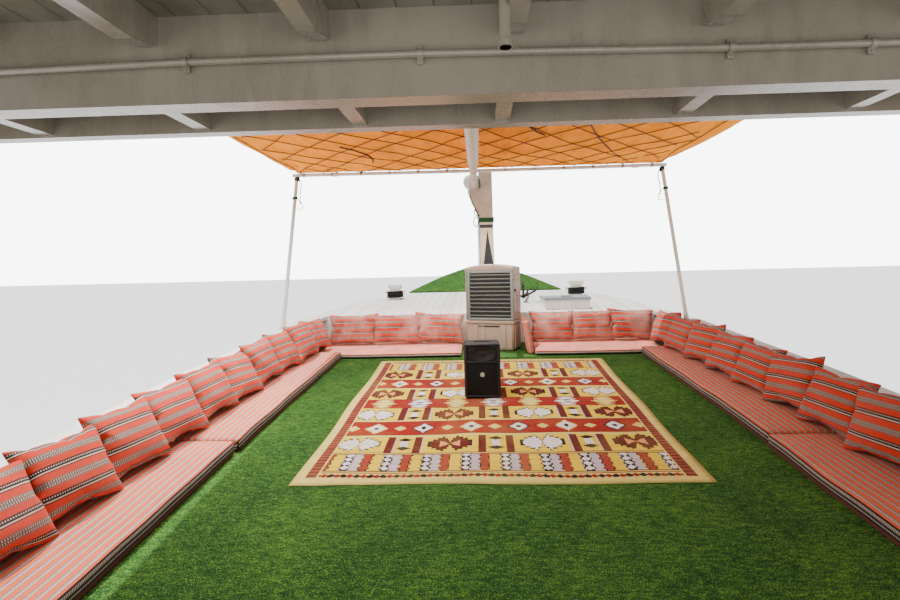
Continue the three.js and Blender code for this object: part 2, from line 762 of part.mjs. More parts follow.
// Places across the canopy, as shares of its half-width, where the arch is bent
const ARCH_SHARES = [-1, -0.66, -0.33, 0, 0.33, 0.66, 1];

function canopyArch(share) {
  return CANOPY_EAVES_Z + 30 + CANOPY_RISE * (1 - share * share);
}

// Arched bows held by a ridge bar, seated on the side rails
function canopyBows() {
  const ends = CANOPY_EAVES_Z + 22 + SEAT;
  const bows = CANOPY_POSTS_X.map((x) => {
    const over = ARCH_SHARES.map((share) => [share * canopyHalf(x), canopyArch(share) + 18]);
    const under = over.map(([y, z]) => [y, Math.max(z - 36, ends)]).reverse();
    return boardYZ([...over, ...under], [x - 17, x + 17]);
  });
  const crown = canopyArch(0);
  const ridge = box([CANOPY_POSTS_X.at(-1), CANOPY_POSTS_X[0]], [-16, 16], [crown - 14, crown + 10]);
  return join([...bows, ridge]);
}

function canopyCloth() {
  const steps = [-1.03, ...ARCH_SHARES, 1.03];
  const ends = [CANOPY_POSTS_X.at(-1) - 190, CANOPY_POSTS_X[0] + 190];
  const rows = stationsBetween(...ends).map((x) => {
    const under = steps.map((share) => [share * canopyHalf(x), canopyArch(share) + 21.9]);
    const over = under.map(([y, z]) => [y, z + 8]).reverse();
    return { x, outline: [...under, ...over] };
  });
  return loft(rows);
}

// Cabin

function cabinSideWall() {
  const { aft, front, half, wall, top } = CABIN;
  const xs = stationsBetween(aft, front);
  const floor = xs.map((x) => [x, deckZ(x) + SEAT]);
  const panel = boardXZ([...floor, [front, top - SEAT], [aft, top - SEAT]], [half - wall, half]);
  const door = box(DOOR.x, [half - 200, half + 200], [deckZ(DOOR.x[0]) + DOOR.sill, DOOR.top]);
  const windowsX = [[-7750, -7000], [-6800, -6050]];
  const windows = windowsX.map((x) => box(x, [half - 200, half + 200], [2250, 2900]));
  return windows.reduce((left, opening) => left.subtract(opening), panel.subtract(door));
}

function cabinCrossWall(x, floor, windows) {
  const inner = CABIN.half - CABIN.wall - SEAT;
  const panel = box(x, [-inner, inner], [floor, CABIN.top - SEAT]);
  const through = [x[0] - 50, x[1] + 50];
  return windows.reduce((left, y) => left.subtract(box(through, y, [2250, 2950])), panel);
}

function cabinRoof() {
  const { aft, front, half, top } = CABIN;
  return box([aft - 60, front + 60], [-half - 60, half + 60], [top, BEAM_BOTTOM - SEAT]);
}

const DOOR_HINGE = { x: DOOR.x[0], y: CABIN.half + 14 };

// Door leaf on the port side, hung at its aft edge
function cabinDoor() {
  const { half, wall } = CABIN;
  const low = deckZ(DOOR.x[0]) + DOOR.sill + DOOR.play;
  const leaf = box(
    [DOOR.x[0] + DOOR.play, DOOR.x[1] - DOOR.play],
    [half - wall + 12, half - 12],
    [low, DOOR.top - DOOR.play]);
  const light = box([-5620, -5240], [half - 200, half + 200], [2350, 2900]);
  const knob = rod([-5150, half - 14, 2200], [-5150, half + 45, 2200], 22, 8);
  const hinges = [1600, 2900].map((z) => join([
    rod([DOOR_HINGE.x, DOOR_HINGE.y, z], [DOOR_HINGE.x, DOOR_HINGE.y, z + 90], 11, 8),
    box([DOOR_HINGE.x, DOOR_HINGE.x + 70], [half - 14, half + 16], [z + 10, z + 80]),
  ]));
  return join([leaf.subtract(light), knob, ...hinges]);
}

const HELM = { x: -5330, y: 620, z: 2060, radius: 330, hub: 24 };

function helmConsole() {
  const floor = deckZ(-5300) - 30;
  const outline = [[-5240, floor], [-4965, floor], [-4965, 2330], [-5080, 2330], [-5240, 2200]];
  const body = boardXZ(outline, [HELM.y - 330, HELM.y + 330]);
  const boss = rod([-5200, HELM.y, HELM.z], [HELM.x + HELM.hub + SEAT, HELM.y, HELM.z], 45, 10);
  return body.add(boss);
}

// Ship's wheel: rim, hub and six spokes
function steeringWheel() {
  const rim = new THREE.TorusGeometry(HELM.radius - 60, 20, 6, 18);
  rim.rotateY(Math.PI / 2);
  rim.translate(HELM.x, HELM.y, HELM.z);
  const hub = rod([HELM.x - 35, HELM.y, HELM.z], [HELM.x + HELM.hub, HELM.y, HELM.z], 50, 10);
  const spokes = [0, 1, 2, 3, 4, 5].map((i) => {
    const angle = (i * Math.PI) / 3;
    const [across, up] = [HELM.radius * Math.cos(angle), HELM.radius * Math.sin(angle)];
    return rod([HELM.x, HELM.y, HELM.z], [HELM.x, HELM.y + across, HELM.z + up], 14, 6);
  });
  return join([solidOf(rim), hub, ...spokes]);
}

// Steep steps through the opening of the upper deck
function deckLadder() {
  const [y0, y1] = [LADDER_HOLE.y[0] + 30, LADDER_HOLE.y[1] - 30];
  const foot = { x: -3400, z: deckZ(-3400) - 30 };
  const head = { x: -4520, z: UPPER_Z + UPPER_THICK - 40 };
  const outline = [
    [head.x + 120, head.z],
    [head.x - 30, head.z],
    [foot.x - 150, foot.z],
    [foot.x, foot.z],
  ];
  const sides = [[y0, y0 + 40], [y1 - 40, y1]].map((y) => boardXZ(outline, y));
  const count = 9;
  const treads = Array.from({ length: count }, (_, i) => {
    const share = (i + 1) / (count + 1);
    const x = lerp(foot.x, head.x, share) - 20;
    const z = lerp(deckZ(-3400), head.z, share);
    return box([x - 105, x + 75], [y0 + 10, y1 - 10], [z - 35, z]);
  });
  return join([...sides, ...treads]).subtract(wellFloor(TURF + SEAT));
}

// Propeller and rudder

// fromShaft is the angle in radians between a blade's chord and the shaft
const BLADE = { thick: 24, fromShaft: 1.08 };

function propeller() {
  const hub = rod([SHAFT.x - 110, 0, SHAFT.z], [SHAFT.x + 110, 0, SHAFT.z], 70, 12, 85);
  const nut = rod([SHAFT.x - 170, 0, SHAFT.z], [SHAFT.x - 100, 0, SHAFT.z], 35, 8, 70);
  const shaft = rod([SHAFT.x, 0, SHAFT.z], [-7300, 0, SHAFT.z], SHAFT.radius, BEARING.sides);
  const outline = [
    [40, -50],
    [140, -130],
    [300, -170],
    [440, -130],
    [495, -20],
    [480, 80],
    [360, 140],
    [200, 110],
    [50, 50],
  ];
  const blades = [0, 1, 2, 3].map((i) => {
    const geometry = extruded(outline, BLADE.thick);
    geometry.translate(0, 0, -BLADE.thick / 2);
    geometry.rotateX(BLADE.fromShaft);
    geometry.rotateZ(Math.PI / 2);
    geometry.rotateX((i * Math.PI) / 2);
    geometry.translate(SHAFT.x, 0, SHAFT.z);
    return solidOf(geometry);
  });
  return join([hub, nut, shaft, ...blades]);
}

// Rudder blade and stock about the raked axis, notched round the gudgeons, with its tiller
function rudder() {
  const front = (z) => rudderAxisX(z);
  const blade = boardXZ([
    [front(-1540), -1540],
    [front(380), 380],
    [front(380) - 420, 380],
    [front(-300) - 760, -300],
    [front(-1540) - 900, -1540],
  ], [-36, 36]);
  const stock = rod(upTheAxis(0, -1570), upTheAxis(0, 2180), STOCK_R, BEARING.sides);
  const cheeks = boardXZ([
    [front(380) + 10, 370],
    [front(2150) + 60, 2150],
    [front(2150) - 160, 2150],
    [front(380) - 300, 370],
  ], [-36, 36]);
  const [tillerX, , tillerZ] = upTheAxis(0, 2080);
  const tiller = rod([tillerX - 60, 0, tillerZ], [tillerX + 950, 0, tillerZ + 120], 34, 8, 26);
  const reach = GUDGEON_TALL / 2 + 12;
  const notches = GUDGEONS_Z.map((z) => (
    rod(upTheAxis(z, -reach), upTheAxis(z, reach), GUDGEON_R + 14, 12)));
  const body = notches.reduce((left, notch) => left.subtract(notch), blade.add(cheeks));
  return join([body, stock, tiller]);
}

// Soft furnishings of the well

const MAT = { thick: 115, width: 610, aft: -560, split: 1780, splitGap: 9, fore: 4530 };
const FRONT_MAT = { thick: 70, x: [4540, 5200], foldX: [4640, 4990], foldTall: 430 };
const matLow = (x) => deckZ(x) + TURF + SEAT;

// Inner edge of the side mats, as a half-width
const MAT_EDGE = [
  { x: -600, half: 1960 },
  { x: 1780, half: 2005 },
  { x: 4400, half: 1945 },
  { x: 5350, half: 1880 },
];

function matSide() {
  const rows = stationsBetween(MAT.aft, MAT.fore).map((x) => {
    const inner = along(MAT_EDGE, "half", x);
    const outer = Math.min(inner + MAT.width, along(STATIONS, "halfDeck", x) - BULWARK_THICK - 5);
    return { x, outline: rectangle([inner, outer], [matLow(x), matLow(x) + MAT.thick]) };
  });
  const gap = box(
    [MAT.split - MAT.splitGap, MAT.split + MAT.splitGap],
    [1500, 3000],
    [deckZ(MAT.split) + TURF + 40, 3000]);
  return loft(rows).subtract(gap);
}

function matFront(across) {
  return loft(FRONT_MAT.x.map((x) => (
    { x, outline: rectangle(across, [matLow(x), matLow(x) + FRONT_MAT.thick]) })));
}

// The end of the front mat to starboard, turned up and leaning towards the cooler
function matFold() {
  return loft(FRONT_MAT.foldX.map((x) => {
    const low = matLow(x) + 2;
    const high = low + FRONT_MAT.foldTall;
    return { x, outline: [[-612, low], [-530, low], [-465, high], [-547, high]] };
  }));
}

const CUSHION = { wide: 480, tall: 400, thick: 150, lean: 0.32, lap: 6 };
const SIDE_ROW = { count: 11, aft: -420, inset: 310, lift: 24.2 };
const FRONT_ROW = { count: 3, x: 5030, lift: 21.5 };

// A row of leaning cushions along the side, joined where they overlap
function cushionsSide() {
  const solids = Array.from({ length: SIDE_ROW.count }, (_, i) => {
    const x = SIDE_ROW.aft + CUSHION.wide * (i + 0.5);
    const [aft, fore] = [x - CUSHION.wide / 2, x + CUSHION.wide / 2];
    const half = Math.min(along(STATIONS, "halfDeck", aft), along(STATIONS, "halfDeck", fore));
    const geometry = new THREE.BoxGeometry(CUSHION.wide + CUSHION.lap, CUSHION.thick, CUSHION.tall);
    geometry.translate(0, 0, CUSHION.tall / 2);
    geometry.rotateX(-CUSHION.lean);
    geometry.translate(x, half - SIDE_ROW.inset, matLow(fore) + MAT.thick + SIDE_ROW.lift);
    return solidOf(geometry);
  });
  return join(solids);
}

function cushionsFront(from, step) {
  const wide = Math.abs(step) + CUSHION.lap;
  const z = matLow(FRONT_ROW.x + 100) + FRONT_MAT.thick + FRONT_ROW.lift;
  const solids = Array.from({ length: FRONT_ROW.count }, (_, i) => {
    const geometry = new THREE.BoxGeometry(CUSHION.thick, wide, CUSHION.tall);
    geometry.translate(0, 0, CUSHION.tall / 2);
    geometry.rotateY(CUSHION.lean);
    geometry.translate(FRONT_ROW.x, from + step * (i + 0.5), z);
    return solidOf(geometry);
  });
  return join(solids);
}

const RUG = { x: 2824, y: -3, length: 3100, width: 2780, turn: -0.008, thick: 9 };

function rug() {
  const slope = Math.atan((deckZ(4000) - deckZ(2000)) / 2000);
  const geometry = new THREE.BoxGeometry(RUG.length, RUG.width, RUG.thick);
  geometry.rotateZ(RUG.turn);
  geometry.rotateY(-slope);
  geometry.translate(RUG.x, RUG.y, deckZ(RUG.x) + TURF + RUG.thick / 2 + 0.6);
  return solidOf(geometry);
}

// turn is in degrees about the upright through the cooler's middle
const COOLER = { x: 5060, y: -90, deep: 380, wide: 720, tall: 1195, tank: 410, turn: -16 };

function airCooler() {
  const [deep, wide] = [COOLER.deep / 2, COOLER.wide / 2];
  const floor = deckZ(COOLER.x - deep) + TURF;
  const top = floor + COOLER.tall;
  const shoulder = floor + COOLER.tank;
  const housing = boardYZ([
    [-wide, shoulder],
    [wide, shoulder],
    [wide, top - 35],
    [wide * 0.6, top - 8],
    [0, top],
    [-wide * 0.6, top - 8],
    [-wide, top - 35],
  ], [-deep, deep]);
  const tank = box([25 - deep, deep - 15], [20 - wide, wide - 20], [floor + 45, shoulder + 5]);
  const recess = box([-deep - 10, 45 - deep], [-wide + 80, wide - 80], [shoulder + 40, top - 130]);
  const slatCount = 11;
  const slats = Array.from({ length: slatCount }, (_, i) => {
    const z = lerp(shoulder + 75, top - 165, i / (slatCount - 1));
    return box([8 - deep, 30 - deep], [-wide + 75, wide - 75], [z - 8, z + 8]);
  });
  const castors = [70 - deep, deep - 70].flatMap((x) => [110 - wide, wide - 110].map((y) => (
    box([x - 28, x + 28], [y - 18, y + 18], [floor - 60, floor + 50]))));
  return join([housing.subtract(recess), tank, ...slats, ...castors])
    .rotate([0, 0, COOLER.turn])
    .translate([COOLER.x, COOLER.y, 0])
    .subtract(wellFloor(TURF + SEAT));
}

const SPEAKER = { x: [2905, 3215], y: [-80, 280], tall: 545 };

function loudspeaker() {
  const floor = deckZ(SPEAKER.x[0]) + TURF + RUG.thick;
  const outline = [
    [SPEAKER.x[0], SPEAKER.y[0] + 30],
    [SPEAKER.x[0] + 40, SPEAKER.y[0]],
    [SPEAKER.x[1] - 90, SPEAKER.y[0]],
    [SPEAKER.x[1], SPEAKER.y[0] + 70],
    [SPEAKER.x[1], SPEAKER.y[1] - 70],
    [SPEAKER.x[1] - 90, SPEAKER.y[1]],
    [SPEAKER.x[0] + 40, SPEAKER.y[1]],
    [SPEAKER.x[0], SPEAKER.y[1] - 30],
  ];
  return slabXY(outline, [floor - 5, floor + SPEAKER.tall])
    .subtract(wellFloor(TURF + RUG.thick + 1.2));
}

// Assembly: each row gives a piece's name, its solid and its finish

const hull = hullPlanking();
const foredeck = foredeckBlock();
const rail = capRail();
const side = bulwark();
const deck = mainDeck();
const turf = turfCarpet();
const fin = stemFin();
const pipe = awningFrontPipe();
const canopySide = canopySideFrame();
const sideRailing = railingAlong();
const carpet = rug();
const strake = fenderStrake([side, foredeck]);
const turfSide = peakTurf(fin);
const pillarRow = sidePillars(rail);
const raisedForedeck = foredeck.translate([0, 0, SEAT]);
const seatedBollards = [1640, -1640].map((y) => bollard(y).subtract(raisedForedeck));
const seatedPost = kingPost().subtract(raisedForedeck);
const sideCushions = cushionsSide();
const frontWall = cabinCrossWall(
  [CABIN.front - CABIN.wall, CABIN.front],
  deckZ(CABIN.front) + 3,
  [[-1250, -450], [-350, 350], [450, 1250]]);
const aftWall = cabinCrossWall(
  [CABIN.aft, CABIN.aft + CABIN.wall],
  deckZ(CABIN.aft) + SEAT,
  [[-900, -200], [200, 900]]);

const PIECES = [
  ["hull_planking", hull, PAINT.wood, 0.5, 0],
  ["keel_timber", keelTimber(), PAINT.wood, 0.6, 0],
  ["stem_timber", stemTimber(), PAINT.wood, 0.5, 0],
  ["stem_fin", fin, PAINT.white, 0.35, 0],
  ["engine_block", engineBlock(), 0x4a5a4c, 0.6, 0.4],
  ["propeller", propeller(), 0xb08d4a, 0.35, 1],
  ["rudder", rudder(), PAINT.wood, 0.6, 0],
  ["bulwark", side, PAINT.wood, 0.5, 0],
  ["cap_rail", rail, PAINT.white, 0.4, 0],
  ["fender_strake_port", strake, 0x1b1b1c, 0.8, 0],
  ["fender_strake_starboard", mirrored(strake), 0x1b1b1c, 0.8, 0],
  ["main_deck", deck, 0x7a6148, 0.7, 0],
  ["turf_carpet", turf, 0x3a6b1e, 1, 0],
  ["foredeck", foredeck, PAINT.white, 0.5, 0],
  ["peak_turf_port", turfSide, 0x3a6b1e, 1, 0],
  ["peak_turf_starboard", mirrored(turfSide), 0x3a6b1e, 1, 0],
  ["bollard_port", seatedBollards[0], PAINT.white, 0.4, 0],
  ["bollard_starboard", seatedBollards[1], PAINT.white, 0.4, 0],
  ["grapnel_anchor", grapnelAnchor(foredeck), 0x202124, 0.6, 0.5],
  ["hatch_coaming", hatchCoaming(foredeck), 0x7e93a0, 0.5, 0],
  ["hatch_lid", hatchLid(), 0x7e93a0, 0.5, 0],
  ["king_post", seatedPost, PAINT.cream, 0.45, 0],
  ["ridge_pole", ridgePole(), PAINT.white, 0.4, 0],
  ["awning_front_pipe", pipe, PAINT.white, 0.4, 0.2],
  ["awning_pole_port", awningPole(1, pipe, rail), PAINT.white, 0.4, 0.2],
  ["awning_pole_starboard", awningPole(-1, pipe, rail), PAINT.white, 0.4, 0.2],
  ["awning_canvas", awningCanvas(), 0xc9761f, 0.9, 0],
  ["upper_deck_planks", upperDeckPlanks(), PAINT.beige, 0.4, 0],
  ["upper_deck_beams", upperDeckBeams(), PAINT.beige, 0.35, 0],
  ["pillars_port", pillarRow, PAINT.cream, 0.4, 0],
  ["pillars_starboard", mirrored(pillarRow), PAINT.cream, 0.4, 0],
  ["railing_front", railingAcross(UPPER_FRONT_X - 100), PAINT.rail, 0.5, 0],
  ["railing_aft", railingAcross(UPPER_AFT_X + 100), PAINT.rail, 0.5, 0],
  ["railing_port", sideRailing, PAINT.rail, 0.5, 0],
  ["railing_starboard", mirrored(sideRailing), PAINT.rail, 0.5, 0],
  ["canopy_frame_port", canopySide, PAINT.white, 0.4, 0.2],
  ["canopy_frame_starboard", mirrored(canopySide), PAINT.white, 0.4, 0.2],
  ["canopy_bows", canopyBows(), PAINT.white, 0.4, 0.2],
  ["canopy_cloth", canopyCloth(), 0x8a7458, 0.9, 0],
  ["cabin_wall_front", frontWall, PAINT.cream, 0.4, 0],
  ["cabin_wall_aft", aftWall, PAINT.cream, 0.4, 0],
  ["cabin_wall_port", cabinSideWall(), PAINT.cream, 0.4, 0],
  ["cabin_wall_starboard", mirrored(cabinSideWall()), PAINT.cream, 0.4, 0],
  ["cabin_roof", cabinRoof(), PAINT.cream, 0.4, 0],
  ["cabin_door_port", cabinDoor(), PAINT.wood, 0.4, 0],
  ["cabin_door_starboard", mirrored(cabinDoor()), PAINT.wood, 0.4, 0],
  ["helm_console", helmConsole().subtract(deck.translate([0, 0, SEAT])), PAINT.wood, 0.4, 0],
  ["steering_wheel", steeringWheel(), PAINT.wood, 0.3, 0],
  ["deck_ladder", deckLadder(), PAINT.cream, 0.4, 0],
  ["mat_port", matSide(), 0xb4564a, 1, 0],
  ["mat_starboard", mirrored(matSide()), 0xb4564a, 1, 0],
  ["mat_front_port", matFront([360, 2290]), 0xb4564a, 1, 0],
  ["mat_front_starboard", matFront([-2290, -605]).add(matFold()), 0xb4564a, 1, 0],
  ["cushions_port", sideCushions, 0xb84a3a, 1, 0],
  ["cushions_starboard", mirrored(sideCushions), 0xb84a3a, 1, 0],
  ["cushions_front_port", cushionsFront(370, 620), 0xb84a3a, 1, 0],
  ["cushions_front_starboard", cushionsFront(-632, -550), 0xb84a3a, 1, 0],
  ["rug", carpet, 0x8c3a24, 1, 0],
  ["air_cooler", airCooler(), 0xd9d4c4, 0.5, 0],
  ["loudspeaker", loudspeaker(), 0x17181a, 0.6, 0],
];

const dhow = new THREE.Group();
PIECES.forEach(([name, solid, color, roughness, metalness]) => {
  const finish = new THREE.MeshStandardMaterial({ color, roughness, metalness });
  const piece = new THREE.Mesh(geometryOf(solid), finish);
  piece.name = name;
  dhow.add(piece);
});

export default dhow;
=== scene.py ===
"""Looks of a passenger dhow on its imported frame: finishes, soft goods and fittings, in metres."""
import json
import logging
import math
import random
from dataclasses import dataclass
from enum import Enum
from typing import Any, Callable, Sequence

import bmesh
import bpy
from bpy.types import Material, Mesh, Node, NodeSocket, Object
from mathutils import Matrix, Vector, noise
from mathutils.bvhtree import BVHTree

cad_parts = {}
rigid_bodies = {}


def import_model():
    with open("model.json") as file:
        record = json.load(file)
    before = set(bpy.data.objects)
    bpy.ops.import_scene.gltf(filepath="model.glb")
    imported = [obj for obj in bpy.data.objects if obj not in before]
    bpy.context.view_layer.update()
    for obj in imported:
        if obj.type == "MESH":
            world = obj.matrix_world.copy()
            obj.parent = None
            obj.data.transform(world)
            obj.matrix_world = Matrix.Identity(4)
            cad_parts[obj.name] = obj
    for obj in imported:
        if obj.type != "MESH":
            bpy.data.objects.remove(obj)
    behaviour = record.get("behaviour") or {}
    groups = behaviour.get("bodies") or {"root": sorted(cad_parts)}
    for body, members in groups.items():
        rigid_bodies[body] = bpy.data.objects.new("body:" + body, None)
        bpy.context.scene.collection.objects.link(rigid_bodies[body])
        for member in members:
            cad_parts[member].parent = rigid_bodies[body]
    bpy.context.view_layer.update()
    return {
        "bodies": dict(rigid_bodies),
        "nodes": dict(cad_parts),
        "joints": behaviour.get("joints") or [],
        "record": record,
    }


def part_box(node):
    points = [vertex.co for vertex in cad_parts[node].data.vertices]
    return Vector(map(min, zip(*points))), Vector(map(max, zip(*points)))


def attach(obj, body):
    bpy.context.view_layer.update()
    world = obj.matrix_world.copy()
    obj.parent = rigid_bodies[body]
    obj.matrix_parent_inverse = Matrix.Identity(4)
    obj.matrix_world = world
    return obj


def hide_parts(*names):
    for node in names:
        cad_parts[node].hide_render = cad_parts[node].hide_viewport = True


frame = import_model()
NODES = frame["nodes"]
log = logging.getLogger("dhow")

DECK_Z, SHEER, SHEER_FROM = 1.2, 0.085, -2.0
TURF_THICK = 0.0125
Point = Sequence[float]
Pair = tuple[float, float]


class Side(Enum):
    """Which side of the boat a piece is on, as the sign of its y."""

    PORT = 1
    STARBOARD = -1

    @property
    def word(self) -> str:
        """The side's name as the nodes spell it."""
        return self.name.lower()


def linear(code: str) -> tuple[float, float, float, float]:
    """Turns an sRGB hex colour to linear.

    Args:
        code: the colour, such as "#c9761f".

    Returns:
        Linear red, green and blue, and full alpha.
    """
    parts = [int(code[i:i + 2], 16) / 255 for i in (1, 3, 5)]
    red, green, blue = (p / 12.92 if p <= 0.04045 else ((p + 0.055) / 1.055) ** 2.4 for p in parts)
    return (red, green, blue, 1.0)


def deck_z(x: float) -> float:
    """Height of the deck at a station: level aft, and rising forward in one straight sheer."""
    return DECK_Z + SHEER * max(x - SHEER_FROM, 0.0)


def level_at(table: Sequence[Pair], place: float) -> float:
    """Value at a place of a sorted table of (place, value) pairs, level past its ends."""
    place = min(max(place, table[0][0]), table[-1][0])
    for (x0, y0), (x1, y1) in zip(table, table[1:]):
        if place <= x1:
            return y0 + (y1 - y0) * (place - x0) / (x1 - x0)
    return table[-1][1]


class Graph:
    """A material while its nodes are wired."""

    def __init__(self, name: str) -> None:
        """Starts an empty node tree under the material's name."""
        self.material = bpy.data.materials.new(name)
        self.material.use_nodes = True
        self.tree = self.material.node_tree
        self.tree.nodes.clear()

    @property
    def at(self) -> NodeSocket:
        """The place in the object's own coordinates."""
        return self.add("TexCoord").outputs["Object"]

    def add(self, kind: str, *values: Any, stops: Sequence[tuple[float, str]] = (),
            named: dict[str, Any] | None = None, **settings: Any) -> Node:
        """Adds a node with its settings and links.

        Args:
            kind: the node's type, without the word ShaderNode, and its operation after a colon.
            values: what feeds its inputs in order: a node, a socket, a hex colour, a value or None.
            stops: places and hex colours of a colour ramp.
            named: what feeds inputs that are called by name.
            settings: the node's own properties.

        Returns:
            The node; its first output is used where it feeds another one.
        """
        kind, _, operation = kind.partition(":")
        made = self.tree.nodes.new("ShaderNode" + kind)
        if operation:
            made.operation = operation
        for key, value in settings.items():
            setattr(made, key, value)
        for place, (where, code) in enumerate(stops):
            elements = made.color_ramp.elements
            stop = elements[place] if place < 2 else elements.new(where)
            stop.position = where
            stop.color = linear(code)
        for key, value in [*enumerate(values), *(named or {}).items()]:
            if value is None:
                continue
            if isinstance(value, Node):
                value = value.outputs[0]
            if isinstance(value, NodeSocket):
                self.tree.links.new(value, made.inputs[key])
            else:
                made.inputs[key].default_value = linear(value) if isinstance(value, str) else value
        return made

    def close(self, height: Node | None, relief: float = 0.001, **sockets: Any) -> Material:
        """Ends the graph in a Principled shader.

        Args:
            height: node whose value raises the surface, or None for a plain one.
            relief: how far a value of 1 raises it, in metres.
            sockets: what feeds the shader, with _ for each space in a socket's name.

        Returns:
            The finished material.
        """
        named = {key.replace("_", " "): value for key, value in sockets.items()}
        if height is not None:
            named["Normal"] = self.add("Bump", named={"Distance": relief, "Height": height})
        shader = self.add("BsdfPrincipled", named=named)
        self.add("OutputMaterial", shader)
        return self.material


def inside(g: Graph, *pairs: tuple[Any, Any]) -> Node:
    """Wires a mask that is 1 where the first of each pair is below the second, and 0 elsewhere."""
    mask = None
    for value, limit in pairs:
        under = g.add("Math:LESS_THAN", value, limit)
        mask = under if mask is None else g.add("Math:MULTIPLY", mask, under)
    return mask


def distance(g: Graph, value: Any, centre: float) -> Node:
    """Wires how far a value is from a centre, either way."""
    return g.add("Math:ABSOLUTE", g.add("Math:SUBTRACT", value, centre))


def phase(g: Graph, value: Any, period: Any) -> Node:
    """Wires how far along its repeat a value is, from 0 to 1."""
    return g.add("Math:FRACT", g.add("Math:DIVIDE", value, period))


def over(g: Graph, ground: Any, fill: Any, *pairs: tuple[Any, Any]) -> Node:
    """Wires a colour over another one, where the first of each pair is below the second."""
    return g.add("MixRGB", inside(g, *pairs), ground, fill)


def repeats(g: Graph, place: Any, period: float) -> tuple[Node, Node]:
    """Wires how far a place is from the nearest repeat of a motif, and which repeat that is."""
    away = g.add("Math:PINGPONG", place, period / 2)
    count = g.add("Math:ROUND", g.add("Math:DIVIDE", place, period))
    return away, count


@dataclass(frozen=True)
class BrushedPaint:
    """Alkyd boat paint brushed on timber: an even gloss with brush drag, grime and worn arrises."""

    name: str
    colour: str
    grime: str
    roughness: float = 0.42
    plank: float = 0.0
    across: str = "Z"
    sheer: bool = False
    grimy: float = 0.45
    coat: float = 0.0

    def build(self) -> Material:
        """Wires the paint: colour, grime, seams between planks, and wear where edges rub."""
        g = Graph(self.name)
        at = g.at
        large = g.add("TexNoise", at, None, 1.1, 4.0, 0.6)
        runs = g.add("Mapping", at, None, None, (2.0, 2.0, 0.5))
        streak = g.add("TexNoise", runs, None, 7.0, 5.0, 0.62)
        dirt = g.add("Math:MULTIPLY", large, streak)
        dirt = g.add("MapRange", dirt, 0.2, 0.42, 0.0, self.grimy)
        colour = g.add("MixRGB", dirt, self.colour, self.grime)
        specks = g.add("TexNoise", at, None, 60.0, 3.0, 0.7)
        chipped = g.add("MapRange", specks, 0.70, 0.74, 0.0, 0.55)
        colour = g.add("MixRGB", chipped, colour, self.grime)
        drag = g.add("Mapping", at, None, None, (6.0, 40.0, 40.0))
        height = g.add("TexNoise", drag, None, 6.0, 3.0, 0.5)
        if self.plank:
            split = g.add("SeparateXYZ", at)
            count = split.outputs[self.across]
            if self.sheer:
                ahead = g.add("Math:MAXIMUM", g.add("Math:ADD", split.outputs["X"], -SHEER_FROM), 0.0)
                count = g.add("Math:MULTIPLY_ADD", ahead, -SHEER, count)
            seam = g.add("Math:PINGPONG", count, self.plank / 2)
            open_seam = g.add("MapRange", seam, 0.0015, 0.004, 1.0, 0.0)
            board = g.add("Math:FLOOR", g.add("Math:ADD", g.add("Math:DIVIDE", count, self.plank), 0.5))
            tone = g.add("TexWhiteNoise", None, board, noise_dimensions="1D")
            tone = g.add("MapRange", tone, 0.0, 1.0, 0.9, 1.06)
            colour = g.add("MixRGB", 1.0, colour, tone, blend_type="MULTIPLY")
            colour = g.add("MixRGB", open_seam, colour, self.grime)
            height = g.add("Math:MULTIPLY_ADD", open_seam, -3.0, height)
        edge = g.add("Bevel", 0.008)
        turn = g.add("VectorMath:DOT_PRODUCT", edge, g.add("NewGeometry").outputs["Normal"])
        rub = g.add("MapRange", turn.outputs["Value"], 0.97, 0.8, 0.0, 1.0)
        rub = g.add("Math:MULTIPLY", rub, streak)
        rub = g.add("MapRange", rub, 0.3, 0.55, 0.0, 0.7)
        colour = g.add("MixRGB", rub, colour, self.grime)
        rough = g.add("MapRange", dirt, 0.0, 0.6, self.roughness, self.roughness + 0.2)
        return g.close(height, 0.0009, Base_Color=colour, Roughness=rough, Coat_Weight=self.coat,
                       Coat_Roughness=0.25, IOR=1.5)


@dataclass(frozen=True)
class PostPaint:
    """Enamel on the king post: a darker grey-pink above that is painted shade, and cream with a black band and a long
    spearhead below.
    """

    name: str
    colour: str
    grime: str
    roughness: float = 0.42
    cream: str = "#e6d3b4"
    ink: str = "#15171b"
    band: Pair = (3.527, 3.579)
    below: float = 3.60
    spear: Pair = (-0.030, 3.504)

    def build(self) -> Material:
        """Wires the two grounds, the darker upper one being painted shade, the band, the spearhead that widens
        downwards, and grime.
        """
        g = Graph(self.name)
        at = g.at
        place = g.add("SeparateXYZ", at)
        y, z = place.outputs["Y"], place.outputs["Z"]
        # Above the band the ground is the darker grey-pink of painted shade; below it is the cream enamel.
        colour = g.add("MixRGB", inside(g, (z, self.below)), self.colour, self.cream)
        patch = g.add("TexNoise", at, None, 5.0, 5.0, 0.65)
        dirt = g.add("MapRange", patch, 0.42, 0.75, 0.0, 0.5)
        colour = g.add("MixRGB", dirt, colour, self.grime)
        colour = over(g, colour, self.ink, (self.band[0], z), (z, self.band[1]))
        tip_y, tip_z = self.spear
        shift = g.add("Math:MULTIPLY_ADD", z, 0.017, tip_y - tip_z * 0.017)
        off = distance(g, y, shift)
        half = g.add("Math:MULTIPLY_ADD", z, -0.140, tip_z * 0.140)
        colour = over(g, colour, self.ink, (off, half), (off, 0.088))
        drag = g.add("TexNoise", g.add("Mapping", at, None, None, (40.0, 40.0, 5.0)), None, 6.0, 3.0, 0.5)
        return g.close(drag, 0.0008, Base_Color=colour, Roughness=self.roughness)


